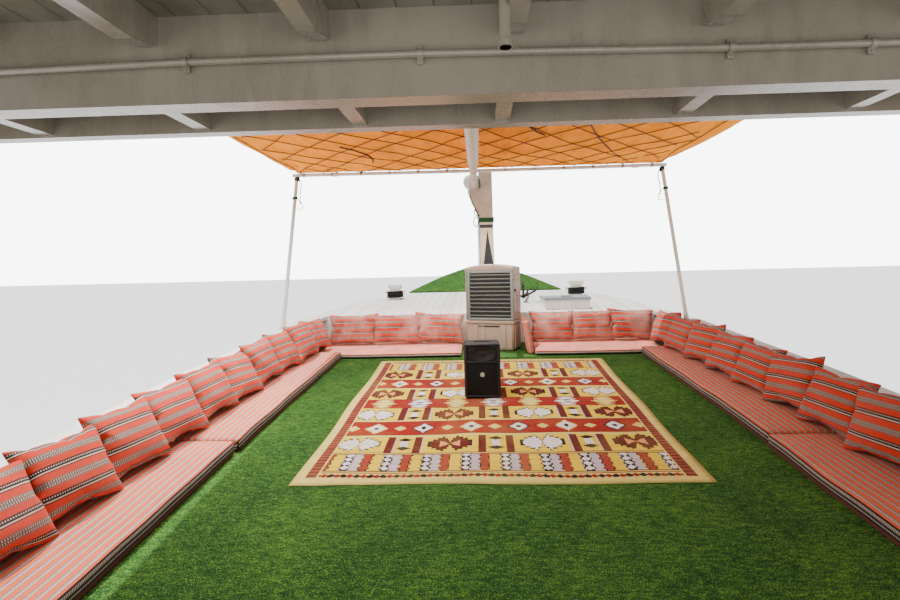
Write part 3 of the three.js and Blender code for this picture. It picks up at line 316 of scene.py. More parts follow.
@dataclass(frozen=True)
class VarnishedWood:
    """Teak under yacht varnish: long figure along the grain, deeper in the turned hollows."""

    name: str
    light: str
    dark: str
    along: str = "X"
    roughness: float = 0.3

    def build(self) -> Material:
        """Wires the figure: rings stretched along the grain, and fine pores."""
        g = Graph(self.name)
        at = g.at
        stretch = [0.6 if axis == self.along else 9.0 for axis in "XYZ"]
        grain = g.add("Mapping", at, None, None, stretch)
        figure = g.add("TexNoise", grain, None, 3.0, 5.0, 0.6, named={"Distortion": 0.7})
        pores = g.add("Mapping", at, None, None, [s * 22 for s in stretch])
        pores = g.add("TexNoise", pores, None, 2.0, 2.0, 0.5)
        mixed = g.add("Math:MULTIPLY", figure, pores)
        colour = g.add("ValToRGB", mixed, stops=((0.1, self.dark), (0.42, self.light)))
        rough = g.add("MapRange", figure, 0.3, 0.7, self.roughness, self.roughness + 0.15)
        return g.close(pores, 0.0005, Base_Color=colour, Roughness=rough, Coat_Weight=0.5, Coat_Roughness=0.15)


@dataclass(frozen=True)
class ArtificialTurf:
    """Polyethylene turf: short tufts in two greens, matt, combed by feet."""

    name: str = "polyethylene_turf_tufted"
    deep: str = "#142a17"
    mid: str = "#2b522b"
    tip: str = "#70a03c"

    def build(self) -> Material:
        """Wires tufts about 7 mm apart in rows across the boat, drawn as coarse as they need to show."""
        g = Graph(self.name)
        at = g.at
        tufts = g.add("TexVoronoi", at, None, 140.0)
        blades = g.add("TexNoise", at, None, 210.0, 2.0, 0.6)
        tracks = g.add("TexNoise", at, None, 2.2, 4.0, 0.55)
        rows = g.add("TexNoise", g.add("Mapping", at, None, None, (1.0, 0.3, 1.0)), None, 52.0, 4.0, 0.7)
        tone = g.add("Math:MULTIPLY_ADD", blades, 0.5, tufts.outputs["Distance"])
        tone = g.add("Math:MULTIPLY_ADD", rows, 1.3, tone)
        tone = g.add("Math:MULTIPLY_ADD", tracks, 0.5, tone)
        tone = g.add("MapRange", tone, 0.90, 2.20, 0.0, 1.0)
        colour = g.add("ValToRGB", tone, stops=((0.0, self.deep), (1.0, self.tip), (0.5, self.mid)))
        height = g.add("Math:ADD", blades, tufts.outputs["Distance"])
        return g.close(height, 0.008, Base_Color=colour, Roughness=0.85, Specular_IOR_Level=0.05)


@dataclass(frozen=True)
class StripedWeave:
    """Hand-loom wool and acrylic: red bands between fine black and white warp lines."""

    name: str
    period: float
    ramp_on: tuple[tuple[float, str], ...]
    ramp_off: tuple[tuple[float, str], ...]
    stitch: float = 0.013
    faded: str = "#e9a79a"
    fade: float = 0.10
    border: float = 0.0
    yarn: float = 0.0035

    def build(self) -> Material:
        """Wires the bands on the cloth's own coordinates, with a dark border on the mattress's inboard side whose
        dashes are woven pattern and whose black ground and dark red bottom are painted shade, threads and sun fade.
        """
        g = Graph(self.name)
        cloth = g.add("SeparateXYZ", g.add("UVMap", uv_map="weave"))
        run, rise = cloth.outputs["X"], cloth.outputs["Y"]
        band = phase(g, rise, self.period)
        on = g.add("ValToRGB", band, stops=self.ramp_on)
        off = g.add("ValToRGB", band, stops=self.ramp_off)
        on.color_ramp.interpolation = off.color_ramp.interpolation = "CONSTANT"
        stitch = g.add("Math:GREATER_THAN", phase(g, run, self.stitch), 0.5)
        colour = g.add("MixRGB", stitch, on, off)
        at = g.at
        sun = g.add("TexNoise", at, None, 3.0, 3.0, 0.6)
        sun = g.add("MapRange", sun, 0.42, 0.72, 0.0, self.fade)
        colour = g.add("MixRGB", sun, colour, self.faded)
        # Inboard side of the mattress: the white and black dashes are woven pattern, the black ground and the dark
        # red bottom are painted shade.
        if self.border:
            down = g.add("Math:DIVIDE", g.add("Math:SUBTRACT", self.border, rise), 0.11)
            rows = g.add("MixRGB", stitch, INK, CHALK)
            edge = g.add("ValToRGB", down, stops=((0.0, INK), (0.12, GREY), (0.30, INK), (0.62, "#6e2016")))
            edge.color_ramp.interpolation = "CONSTANT"
            edge = over(g, edge, rows, (0.12, down), (down, 0.26))
            edge = over(g, edge, rows, (0.42, down), (down, 0.50))
            colour = over(g, colour, edge, (rise, self.border))
        weft, warp = (g.add("Math:SINE", g.add("Math:MULTIPLY", way, 2 * math.pi / self.yarn)) for way in (run, rise))
        thread = g.add("Math:MULTIPLY", weft, warp)
        fluff = g.add("TexNoise", at, None, 260.0, 2.0, 0.6)
        tint = g.add("MapRange", g.add("Math:MULTIPLY_ADD", thread, 0.3, fluff), 0.1, 0.9, 0.78, 1.12)
        colour = g.add("MixRGB", 1.0, colour, tint, blend_type="MULTIPLY")
        height = g.add("Math:ADD", thread, fluff)
        return g.close(height, 0.0008, Base_Color=colour, Roughness=0.88, Specular_IOR_Level=0.12,
                       Sheen_Weight=0.08, Sheen_Roughness=0.6)


GREY, INK, CHALK = "#857064", "#1b1311", "#dccab8"
DYES = {"r": "#dc3c20", "o": "#f4603a", "g": GREY, "i": INK, "c": CHALK}


def stripes(places: Sequence[float], dyes: str) -> tuple[tuple[float, str], ...]:
    """Colour ramp stops of a band of stripes, from where each starts and the letter of its dye."""
    return tuple((place, DYES[dye]) for place, dye in zip(places, dyes))


CUSHION_AT = (0.0, 0.25, 0.285, 0.335, 0.40, 0.45, 0.50, 0.74, 0.79, 0.84, 0.90, 0.95)
CUSHION_ON, CUSHION_OFF = stripes(CUSHION_AT, "ricicirgigig"), stripes(CUSHION_AT, "riciiirgcgcg")
MAT_AT = (0.0, 0.42, 0.49, 0.56, 0.65, 0.72, 0.81, 0.88)
MAT_ON, MAT_OFF = stripes(MAT_AT, "ogicicig"), stripes(MAT_AT, "ogcccicg")
CUSHION_WEAVE = StripedWeave("loomed_wool_cushion_cover", 0.156, CUSHION_ON, CUSHION_OFF)
PALE_CUSHION_WEAVE = StripedWeave("sun_bleached_wool_cushion_cover", 0.156, CUSHION_ON, CUSHION_OFF,
                                  faded="#dfb1a4", fade=0.75)
MAT_WEAVE = StripedWeave("loomed_wool_mattress_cover", 0.052, MAT_ON, MAT_OFF, 0.009, "#ff8a5c", 0.26, 5.0)
BLEACHED_WEAVE = StripedWeave("sun_bleached_wool_mattress_cover", 0.052, MAT_ON, MAT_OFF, 0.009, "#ff9078", 0.88, 5.0)
FOLD_WEAVE = StripedWeave("sun_bleached_wool_fold", 0.052, MAT_ON, MAT_OFF, 0.009, "#ff9f88", 0.88)


@dataclass(frozen=True)
class Canvas:
    """Cotton awning canvas, proofed: a plain weave with folds, tide marks and light through it."""

    name: str
    colour: str
    stain: str
    glow: float

    def build(self) -> Material:
        """Wires the canvas, darker in its folds' hollows and lighter on their ridges as painted shade and highlight,
        part of whose light comes through from above.
        """
        g = Graph(self.name)
        at = g.at
        marks = g.add("TexNoise", at, None, 1.4, 6.0, 0.65, named={"Distortion": 0.8})
        folds = g.add("TexNoise", g.add("Mapping", at, None, None, (1.0, 5.0, 1.0)), None, 2.2, 4.0, 0.6)
        stained = g.add("MapRange", marks, 0.45, 0.7, 0.0, 0.75)
        colour = g.add("MixRGB", stained, self.colour, self.stain)
        # Painted shade in the folds' hollows and painted highlight on their ridges, multiplied into the colour.
        painted_fold_light_and_shade = g.add("MapRange", folds, 0.3, 0.7, 0.85, 1.12)
        colour = g.add("MixRGB", 1.0, colour, painted_fold_light_and_shade, blend_type="MULTIPLY")
        weave = g.add("TexNoise", at, None, 320.0, 2.0, 0.5)
        height = g.add("Math:MULTIPLY_ADD", folds, 6.0, weave)
        return g.close(height, 0.001, Base_Color=colour, Roughness=0.85, Specular_IOR_Level=0.08,
                       Subsurface_Weight=self.glow, Subsurface_Radius=(0.05, 0.03, 0.01))


@dataclass(frozen=True)
class Moulded:
    """A moulded or coated surface of one colour: fine orange peel, dust and light scuffs."""

    name: str
    colour: str
    dust: str
    roughness: float
    metallic: float = 0.0
    grit: float = 300.0
    dusty: float = 0.3
    relief: float = 0.0003

    def build(self) -> Material:
        """Wires the skin: peel at its grit size, dust in patches, scuffs in the gloss."""
        g = Graph(self.name)
        at = g.at
        peel = g.add("TexNoise", at, None, self.grit, 2.0, 0.5)
        patch = g.add("TexNoise", at, None, 4.0, 5.0, 0.65)
        dust = g.add("MapRange", patch, 0.4, 0.75, 0.0, self.dusty)
        colour = g.add("MixRGB", dust, self.colour, self.dust)
        rough = g.add("MapRange", patch, 0.3, 0.7, self.roughness - 0.06, self.roughness + 0.12)
        return g.close(peel, self.relief, Base_Color=colour, Roughness=rough, Metallic=self.metallic)


@dataclass(frozen=True)
class Rope:
    """Laid rope: strands wound at a slant, fuzzy and matt."""

    name: str
    colour: str
    shade: str
    strand: float = 0.011

    def build(self) -> Material:
        """Wires the strands as slanting ridges one strand apart, with painted shade in the grooves between them."""
        g = Graph(self.name)
        at = g.at
        slant = g.add("Mapping", at, None, (0.5, 0.7, 0.6))
        ridge = g.add("TexWave", slant, 0.31 / self.strand, 1.0, 1.0)
        # Painted shade: the colour goes to the darker groove colour between the strands.
        colour = g.add("MixRGB", ridge.outputs["Fac"], self.shade, self.colour)
        return g.close(ridge.outputs["Fac"], 0.002, Base_Color=colour, Roughness=0.85)


@dataclass(frozen=True)
class WindowGlass:
    """Tinted float glass: dark from outside, with a sharp sky in it."""

    name: str = "float_glass_tinted"

    def build(self) -> Material:
        """Wires the pane with faint salt on it."""
        g = Graph(self.name)
        salt = g.add("TexNoise", g.at, None, 30.0, 5.0, 0.7)
        rough = g.add("MapRange", salt, 0.4, 0.8, 0.04, 0.25)
        return g.close(None, Base_Color="#2c3a3c", Roughness=rough, Transmission_Weight=0.45, IOR=1.5)


@dataclass(frozen=True)
class KilimWeave:
    """Flat-woven wool kilim: rows of stepped bow-ties, diamonds and combs, dulled by bare feet."""

    name: str = "slit_woven_wool_kilim"
    length: float = 3.10
    knot: float = 0.012
    row: float = 0.6075
    bow: float = 0.718
    bead: float = 0.046
    yellow: str = "#f4d232"
    cream: str = "#eeda78"
    red: str = "#9e1d10"
    brown: str = "#661c12"
    orange: str = "#f4a765"
    black: str = "#211517"
    white: str = "#f1ebe6"
    lilac: str = "#cfc0c3"

    def build(self) -> Material:
        """Wires the rows from the middle of the rug outwards, then its ends, sides and yarn."""
        g = Graph(self.name)
        cloth = g.add("SeparateXYZ", g.add("UVMap", uv_map="weave"))
        at = g.at
        loom = g.add("TexNoise", at, None, 1.2, 2.0, 0.5)
        drawn = g.add("MapRange", loom, 0.3, 0.7, -0.014, 0.014)
        port = g.add("MapRange", cloth.outputs["Y"], 0.2, 0.45, 0.0, 0.03, interpolation_type="SMOOTHSTEP")
        near = g.add("MapRange", cloth.outputs["X"], 0.35, 0.7, 0.0, 1.0)
        near = g.add("Math:MULTIPLY", near, g.add("MapRange", cloth.outputs["X"], 1.8, 2.6, 1.0, 0.0))
        drawn = g.add("Math:MULTIPLY_ADD", port, near, drawn)
        along = g.add("Math:ADD", cloth.outputs["X"], drawn)
        along = g.add("Math:SNAP", along, self.knot)
        across = g.add("Math:SNAP", cloth.outputs["Y"], self.knot)
        out = distance(g, along, self.length / 2)
        colour = self.bow_ties(g, along, across, out)
        colour = self.diamonds(g, across, out, colour)
        colour = self.middle(g, across, out, colour)
        colour = self.combs(g, across, out, colour)
        colour = self.edges(g, along, across, out, colour)
        dye = g.add("TexNoise", g.add("Mapping", at, None, None, (9.0, 1.2, 1.0)), None, 3.0, 3.0, 0.6)
        dye = g.add("MapRange", dye, 0.3, 0.7, 0.86, 1.10)
        colour = g.add("MixRGB", 1.0, colour, dye, blend_type="MULTIPLY")
        fluff = g.add("TexNoise", at, None, 240.0, 2.0, 0.6)
        tint = g.add("MapRange", fluff, 0.2, 0.8, 0.82, 1.16)
        colour = g.add("MixRGB", 1.0, colour, tint, blend_type="MULTIPLY")
        worn = g.add("TexNoise", at, None, 1.7, 5.0, 0.65)
        worn = g.add("MapRange", worn, 0.45, 0.75, 0.0, 0.16)
        colour = g.add("MixRGB", worn, colour, self.cream)
        pick = g.add("Math:MULTIPLY", cloth.outputs["X"], 2 * math.pi / 0.005)
        pick = g.add("Math:SINE", pick)
        height = g.add("Math:MULTIPLY_ADD", fluff, 1.5, pick)
        return g.close(height, 0.0011, Base_Color=colour, Roughness=0.9, Specular_IOR_Level=0.12,
                       Sheen_Weight=0.05, Sheen_Roughness=0.6)

    def bow_ties(self, g: Graph, along: Any, across: Any, out: Any) -> Node:
        """Wires the yellow rows: serrated bow-ties between narrow panels with dark bars."""
        rise = distance(g, out, self.row)
        edge = g.add("Math:SUBTRACT", rise, 0.182)
        rise = distance(g, rise, 0.3175)
        panel, _ = repeats(g, across, self.bow)
        tie = g.add("Math:SUBTRACT", self.bow / 2, panel)
        wing = g.add("Math:MULTIPLY_ADD", tie, 2.0, 0.006)
        tail = g.add("Math:MULTIPLY_ADD", tie, -0.84, 0.146)
        half = g.add("Math:MINIMUM", wing, tail)
        teeth = phase(g, tie, 0.034)
        half = g.add("Math:MULTIPLY_ADD", teeth, 0.034, half)
        block = g.add("Math:FLOOR", g.add("Math:DIVIDE", across, self.bow))
        far = g.add("Math:GREATER_THAN", along, self.length / 2)
        odd = g.add("Math:FLOORED_MODULO", g.add("Math:ADD", block, far), 2.0)
        fill = g.add("MixRGB", odd, self.brown, self.white)
        core = g.add("MixRGB", odd, self.orange, self.white)
        around = g.add("Math:ADD", half, 0.021)
        waist = g.add("Math:MULTIPLY", tie, 0.72)
        colour = g.add("MixRGB", inside(g, (rise, around), (tie, 0.172)), self.yellow, self.black)
        colour = over(g, colour, fill, (rise, half), (tie, 0.155))
        colour = over(g, colour, core, (rise, waist), (tie, 0.075))
        bar = distance(g, panel, 0.108)
        colour = over(g, colour, self.lilac, (bar, 0.036))
        colour = over(g, colour, self.brown, (bar, 0.0295))
        colour = over(g, colour, self.white, (panel, 0.032), (rise, 0.055))
        point = distance(g, rise, 0.082)
        point = g.add("Math:MULTIPLY_ADD", point, -1.9, 0.066)
        colour = over(g, colour, self.black, (panel, point))
        return over(g, colour, self.cream, (edge, 0.0))

    def diamonds(self, g: Graph, across: Any, out: Any, colour: Any) -> Node:
        """Wires the red rows: small cream diamonds between large outlined ones."""
        rise = distance(g, out, self.row)
        colour = over(g, colour, self.brown, (rise, 0.150))
        colour = over(g, colour, self.red, (rise, 0.138))
        away, count = repeats(g, across, 0.20)
        large = g.add("Math:FLOORED_MODULO", count, 2.0)
        turn = g.add("Math:FLOORED_MODULO", count, 4.0)
        dark = g.add("Math:GREATER_THAN", turn, 2.5)
        wide = g.add("Math:MULTIPLY_ADD", large, 0.022, 0.056)
        tall = g.add("Math:MULTIPLY_ADD", large, 0.036, 0.056)
        reach = g.add("Math:ADD", g.add("Math:DIVIDE", away, wide), g.add("Math:DIVIDE", rise, tall))
        outline = g.add("MixRGB", dark, self.cream, self.black)
        fill = g.add("MixRGB", large, self.cream, self.white)
        colour = over(g, colour, outline, (reach, 1.26), (0.5, large))
        colour = over(g, colour, fill, (reach, 1.0))
        return over(g, colour, self.black, (reach, 0.36), (0.5, large))

    def middle(self, g: Graph, across: Any, out: Any, colour: Any) -> Node:
        """Wires the middle row: stepped stars in white and cream on red, with drawn-out points."""
        row = (out, 0.116)
        colour = over(g, colour, self.brown, (out, 0.128))
        away, count = repeats(g, across, 0.352)
        odd = g.add("Math:FLOORED_MODULO", count, 2.0)
        teeth = phase(g, out, 0.052)
        half = g.add("Math:MULTIPLY_ADD", out, -0.40, 0.125)
        half = g.add("Math:MULTIPLY_ADD", teeth, -0.07, half)
        fill = g.add("MixRGB", odd, self.white, self.cream)
        colour = over(g, colour, self.red, row)
        colour = over(g, colour, self.brown, row, (away, g.add("Math:ADD", half, 0.010)))
        colour = over(g, colour, fill, row, (away, half))
        return over(g, colour, self.black, (away, 0.030), (distance(g, out, 0.032), 0.010), (odd, 0.5))

    def combs(self, g: Graph, across: Any, out: Any, colour: Any) -> Node:
        """Wires the comb rows near both ends: yellow, beads, pale lilac, and scalloped red."""
        row = inside(g, (1.118, out), (out, 1.379))
        colour = over(g, colour, self.brown, (1.093, out), (out, 1.102))
        colour = over(g, colour, self.cream, (1.102, out), (out, 1.399))
        colour = over(g, colour, self.brown, (1.110, out), (out, 1.387))
        share = g.add("Math:FRACT", g.add("Math:MULTIPLY_ADD", across, -1 / 0.287, 0.172))
        bands = g.add("ValToRGB", share, stops=((0.0, self.yellow), (0.26, self.lilac), (0.72, self.yellow)))
        bands.color_ramp.interpolation = "CONSTANT"
        bead = phase(g, out, 0.0652)
        bead = distance(g, bead, 0.5)
        off = distance(g, share, 0.385)
        rim = g.add("Math:MULTIPLY_ADD", bead, -0.11, 0.150)
        bands = over(g, bands, self.black, (off, rim))
        oval = g.add("Math:ADD", g.add("Math:DIVIDE", off, 0.118), g.add("Math:DIVIDE", bead, 0.46))
        bands = over(g, bands, self.white, (oval, 1.05))
        off = distance(g, share, 0.86)
        rim = g.add("Math:MULTIPLY_ADD", bead, -0.14, 0.165)
        bands = over(g, bands, self.black, (off, rim))
        tooth = g.add("Math:SUBTRACT", rim, 0.034)
        bands = over(g, bands, "#a8402c", (off, tooth))
        return g.add("MixRGB", row, colour, bands)

    def edges(self, g: Graph, along: Any, across: Any, out: Any, colour: Any) -> Node:
        """Wires the end borders with their row of beads, and the selvedges along the sides."""
        colour = over(g, colour, self.cream, (1.399, out))
        colour = over(g, colour, self.red, (1.405, out), (out, 1.417))
        away, count = repeats(g, across, self.bead)
        odd = g.add("Math:FLOORED_MODULO", count, 2.0)
        rise = distance(g, out, 1.449)
        reach = g.add("Math:ADD", away, rise)
        colour = g.add("MixRGB", inside(g, (reach, 0.031), (rise, 0.021)), colour,
                       g.add("MixRGB", odd, self.red, self.black))
        colour = over(g, colour, self.cream, (1.482, out))
        side = g.add("Math:ABSOLUTE", across)
        dash = phase(g, along, self.bead)
        dashes = g.add("ValToRGB", dash, stops=((0.0, self.brown), (0.5, "#a2463c")))
        dashes.color_ramp.interpolation = "CONSTANT"
        colour = over(g, colour, self.cream, (1.235, side), (out, 1.472))
        colour = over(g, colour, dashes, (1.243, side), (side, 1.309), (out, 1.472))
        return over(g, colour, self.cream, (1.318, side))


HULL_PAINT = BrushedPaint("alkyd_paint_on_hull_planks", "#3a2318", "#6b5140", 0.38, 0.16, "Z", True)
TIMBER_PAINT = BrushedPaint("alkyd_paint_on_keel_timber", "#351f16", "#5e4636", 0.45)
WHITE_PAINT = BrushedPaint("white_enamel_on_timber", "#e9e6df", "#a39c8d", 0.36, grimy=0.35)
FOREDECK_PAINT = BrushedPaint("white_deck_enamel_on_planks", "#f3f1ea", "#a49c8c", 0.4, 0.14, "Y")
CREAM_PAINT = BrushedPaint("cream_enamel_on_joinery", "#d9cfb8", "#8f8167", 0.4, grimy=0.4)
BEAM_PAINT = BrushedPaint("beige_gloss_on_deck_beams", "#8e8577", "#665b50", 0.2, grimy=0.5, coat=0.6)
SOFFIT_PAINT = BrushedPaint("beige_gloss_on_deck_soffit", "#7d7768", "#5a5347", 0.3, 0.12, "Y", coat=0.2)
POST_PAINT = PostPaint("banded_enamel_on_king_post", "#d6c4b2", "#8c7a68")
RIDGE_PAINT = BrushedPaint("worn_enamel_on_ridge_pole", "#c9b9ab", "#8e7a6c", 0.5, grimy=0.7)
HATCH_PAINT = BrushedPaint("blue_grey_enamel_on_hatch", "#8d9ca6", "#a9aeb0", 0.4)
RAIL_WOOD = VarnishedWood("varnished_teak_rail", "#8a3c24", "#3e160e")
BALUSTER_WOOD = VarnishedWood("varnished_teak_turned", "#8a3c24", "#3e160e", "Z")
JOINERY_WOOD = VarnishedWood("varnished_teak_joinery", "#8f5a33", "#4a2a16", "Z")
DECK_WOOD = VarnishedWood("scrubbed_teak_deck", "#a98c66", "#6f5638", roughness=0.6)
PIPE_PAINT = Moulded("white_enamel_on_steel_pipe", "#dedbd2", "#9a8f7e", 0.35, grit=140.0)
RUBBER = Moulded("extruded_rubber_fender", "#17181a", "#4f4d48", 0.7)
CAST_IRON = Moulded("tarred_wrought_iron", "#15130f", "#4a2f1f", 0.6, 0.4, 120.0, 0.5, 0.001)
BRONZE = Moulded("cast_bronze", "#a9793c", "#4f6b55", 0.34, 1.0, 160.0, 0.4)
MACHINE = Moulded("enamelled_engine_casting", "#4d5a4b", "#2a2b27", 0.5, grit=90.0, dusty=0.5)
COOLER_SHELL = Moulded("moulded_abs_cooler_shell", "#ab9684", "#85766a", 0.38)
COOLER_GRILLE = Moulded("moulded_abs_frame_grey_green", "#73807c", "#8f8d80", 0.5)
COOLER_SLAT = Moulded("moulded_abs_slat", "#848a84", "#8b877a", 0.45)
COOLER_SHADE_AND_KNOB = Moulded("honeycomb_pad_in_shade", "#1b2022", "#3b3d3a", 0.8)
SPEAKER_CASE = Moulded("textured_polypropylene_case", "#070708", "#1e1d1c", 0.55, grit=420.0, dusty=0.2)
SPEAKER_MESH = Moulded("coated_steel_mesh", "#050506", "#1c1c1c", 0.4, 0.5, 500.0, 0.15, 0.0012)
SILVER = Moulded("plated_steel_fitting", "#c9c9c6", "#7b7a76", 0.3, 0.9)
GREEN_ROPE = Rope("polypropylene_rope_green", "#186a38", "#0b3d1d")
BLACK_ROPE = Rope("tarred_hemp_rope", "#14110e", "#060505")
NET_ROPE = Rope("tarred_net_cord", "#53331f", "#2a1a10", 0.006)
AWNING_CANVAS = Canvas("proofed_cotton_awning", "#fb9404", "#d67a0c", 0.5)
CANOPY_CANVAS = Canvas("proofed_canopy_fabric", "#8f7350", "#6b573f", 0.2)
TURF = ArtificialTurf()
KILIM = KilimWeave()
GLASS = WindowGlass()
SLOTS = {finish: slot for slot, finishes in {
    "rail_wood": (RAIL_WOOD, BALUSTER_WOOD), "door_wood": (JOINERY_WOOD,), "pipe_paint": (PIPE_PAINT,),
    "white_paint": (WHITE_PAINT, RIDGE_PAINT), "cream_paint": (GLASS,), "beige_paint": (BEAM_PAINT,),
    "iron": (SILVER, BLACK_ROPE, NET_ROPE), "canvas": (AWNING_CANVAS, GREEN_ROPE),
    "canopy_fabric": (CANOPY_CANVAS,), "rug_wool": (KILIM,), "speaker_plastic": (SPEAKER_CASE, SPEAKER_MESH),
    "seat_fabric": (CUSHION_WEAVE, PALE_CUSHION_WEAVE, MAT_WEAVE, BLEACHED_WEAVE, FOLD_WEAVE),
    "cooler_plastic": (COOLER_SHELL, COOLER_GRILLE, COOLER_SHADE_AND_KNOB, COOLER_SLAT),
}.items() for finish in finishes}
NODE_FINISHES = {
    HULL_PAINT: ("hull_planking", "bulwark"),
    TIMBER_PAINT: ("keel_timber", "stem_timber", "rudder"),
    WHITE_PAINT: ("cap_rail", "stem_fin", "bollard_port", "bollard_starboard", "hatch_coaming"),
    FOREDECK_PAINT: ("foredeck",),
    POST_PAINT: ("king_post",),
    CREAM_PAINT: ("pillars_port", "pillars_starboard", "cabin_wall_front", "cabin_wall_aft",
                  "cabin_wall_port", "cabin_wall_starboard", "cabin_roof", "deck_ladder"),
    BEAM_PAINT: ("upper_deck_beams",),
    SOFFIT_PAINT: ("upper_deck_planks",),
    HATCH_PAINT: ("hatch_lid",),
    JOINERY_WOOD: ("cabin_door_port", "cabin_door_starboard", "helm_console", "steering_wheel"),
    DECK_WOOD: ("main_deck",),
    TURF: ("turf_carpet", "peak_turf_port", "peak_turf_starboard"),
    PIPE_PAINT: ("canopy_frame_port", "canopy_frame_starboard", "canopy_bows"),
    RUBBER: ("fender_strake_port", "fender_strake_starboard"),
    CAST_IRON: ("grapnel_anchor",),
    BRONZE: ("propeller",),
    MACHINE: ("engine_block",),
}
BUILT: dict[Any, Material] = {}


def material_of(finish: Any) -> Material:
    """The finish's material, built the first time that it is asked for."""
    if finish not in BUILT:
        BUILT[finish] = finish.build()
    return BUILT[finish]


class Piece:
    """One named piece being modelled in the boat's frame."""

    def __init__(self, name: str) -> None:
        """Starts an empty mesh under the piece's name."""
        self.name = name
        self.bm = bmesh.new()

    def block(self, low: Point, high: Point, round_by: float = 0.0, segments: int = 2,
              place: Matrix | None = None) -> list[bmesh.types.BMVert]:
        """Adds a block with rounded edges.

        Args:
            low: its lowest corner.
            high: its highest corner.
            round_by: radius of its edges.
            segments: faces round each edge.
            place: turn and shift given to it afterwards.

        Returns:
            The block's vertices.
        """
        low, high = Vector(low), Vector(high)
        size = Matrix.Diagonal((*(high - low), 1.0))
        shape = Matrix.Translation((low + high) / 2) @ size
        verts = bmesh.ops.create_cube(self.bm, size=1.0, matrix=shape)["verts"]
        if round_by:
            edges = list({edge for vert in verts for edge in vert.link_edges})
            made = bmesh.ops.bevel(
                self.bm, geom=edges, offset=round_by, offset_type="OFFSET", segments=segments, profile=0.5,
                affect="EDGES", clamp_overlap=True, material=-1)
            verts = list({vert for face in made["faces"] for vert in face.verts} | set(
                vert for vert in verts if vert.is_valid))
        if place is not None:
            bmesh.ops.transform(self.bm, matrix=place, verts=verts)
        return verts

    def rod(self, start: Point, end: Point, radius: float, end_radius: float | None = None,
            sides: int = 16) -> list[bmesh.types.BMVert]:
        """Adds a round rod or cone between two points, and returns its vertices."""
        start, end = Vector(start), Vector(end)
        turn = (end - start).to_track_quat("Z", "Y").to_matrix().to_4x4()
        return bmesh.ops.create_cone(
            self.bm, cap_ends=True, cap_tris=False, segments=sides, radius1=radius,
            radius2=radius if end_radius is None else end_radius, depth=(end - start).length,
            matrix=Matrix.Translation((start + end) / 2) @ turn)["verts"]

    def turned(self, profile: Sequence[Pair], place: Matrix, sides: int = 16) -> None:
        """Spins a profile of (radius, height) points about its own z axis, then places it."""
        verts = [self.bm.verts.new((radius, 0.0, height)) for radius, height in profile]
        edges = [self.bm.edges.new(pair) for pair in zip(verts, verts[1:])]
        spun = bmesh.ops.spin(self.bm, geom=verts + edges, cent=(0, 0, 0), axis=(0, 0, 1),
                              dvec=(0, 0, 0), angle=2 * math.pi, steps=sides, use_merge=True)
        faces = {face for item in spun["geom_last"] + verts for face in item.link_faces
                 if isinstance(item, bmesh.types.BMVert)}
        group = connected(faces)
        verts = list({vert for face in group for vert in face.verts})
        bmesh.ops.remove_doubles(self.bm, verts=verts, dist=1e-5)
        group = [face for face in group if face.is_valid]
        bmesh.ops.recalc_face_normals(self.bm, faces=group)
        verts = list({vert for face in group for vert in face.verts})
        bmesh.ops.transform(self.bm, matrix=place, verts=verts)

    def done(self, finish: Any, body: str = "root", replaces: Sequence[str] = (),
             sharp: float = 35.0) -> Object:
        """Makes the piece an object that rides on a body.

        Args:
            finish: its finish.
            body: the body that it rides on.
            replaces: CAD nodes that it stands for.
            sharp: angle in degrees from which an edge stays sharp.

        Returns:
            The object, at the frame's origin.
        """
        for face in self.bm.faces:
            face.smooth = True
        for edge in self.bm.edges:
            edge.smooth = edge.calc_face_angle(0.0) < math.radians(sharp)
        mesh = bpy.data.meshes.new(self.name)
        self.bm.to_mesh(mesh)
        self.bm.free()
        return dressed(self.name, mesh, finish, body, replaces)


def connected(seeds: set[bmesh.types.BMFace]) -> list[bmesh.types.BMFace]:
    """All faces joined to some first faces by edges."""
    found, waiting = set(seeds), list(seeds)
    while waiting:
        for edge in waiting.pop().edges:
            for face in edge.link_faces:
                if face not in found:
                    found.add(face)
                    waiting.append(face)
    return list(found)


def stood(name: str, data: Any) -> Object:
    """Makes an object of some data and puts it in the scene."""
    made = bpy.data.objects.new(name, data)
    bpy.context.scene.collection.objects.link(made)
    return made


def dressed(name: str, data: Any, finish: Any, body: str = "root", replaces: Sequence[str] = ()) -> Object:
    """Puts a mesh in the scene with its finish and body."""
    piece = stood(name, data)
    data.materials.append(material_of(finish))
    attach(piece, body)
    if replaces:
        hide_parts(*replaces)
    return piece


def rope(name: str, runs: Sequence[Sequence[Point]], radius: float, finish: Any) -> Object:
    """Lays rope along one or more runs of points.

    Args:
        name: the piece's name.
        runs: the points of each run, which it passes in smooth curves.
        radius: the rope's radius.
        finish: its finish.

    Returns:
        The rope as a mesh piece.
    """
    curve = bpy.data.curves.new(name, "CURVE")
    curve.dimensions = "3D"
    curve.bevel_depth = radius
    curve.bevel_resolution = 1
    curve.resolution_u = 3
    curve.use_fill_caps = True
    for points in runs:
        spline = curve.splines.new("NURBS")
        spline.points.add(len(points) - 1)
        for knot, point in zip(spline.points, points):
            knot.co = (*point, 1.0)
        spline.use_endpoint_u = True
        spline.order_u = 3
    holder = stood(name + "_run", curve)
    mesh = bpy.data.meshes.new_from_object(holder.evaluated_get(bpy.context.evaluated_depsgraph_get()))
    bpy.data.objects.remove(holder)
    mesh.shade_smooth()
    return dressed(name, mesh, finish)


def wrap(centre: Point, radius: float, turns: float, pitch: float) -> list[Point]:
    """Points of a rope wound round a vertical post, 12 a turn, from below."""
    return [(centre[0] + radius * math.cos(i * math.pi / 6), centre[1] + radius * math.sin(i * math.pi / 6),
             centre[2] + pitch * i / 12) for i in range(int(turns * 12) + 1)]


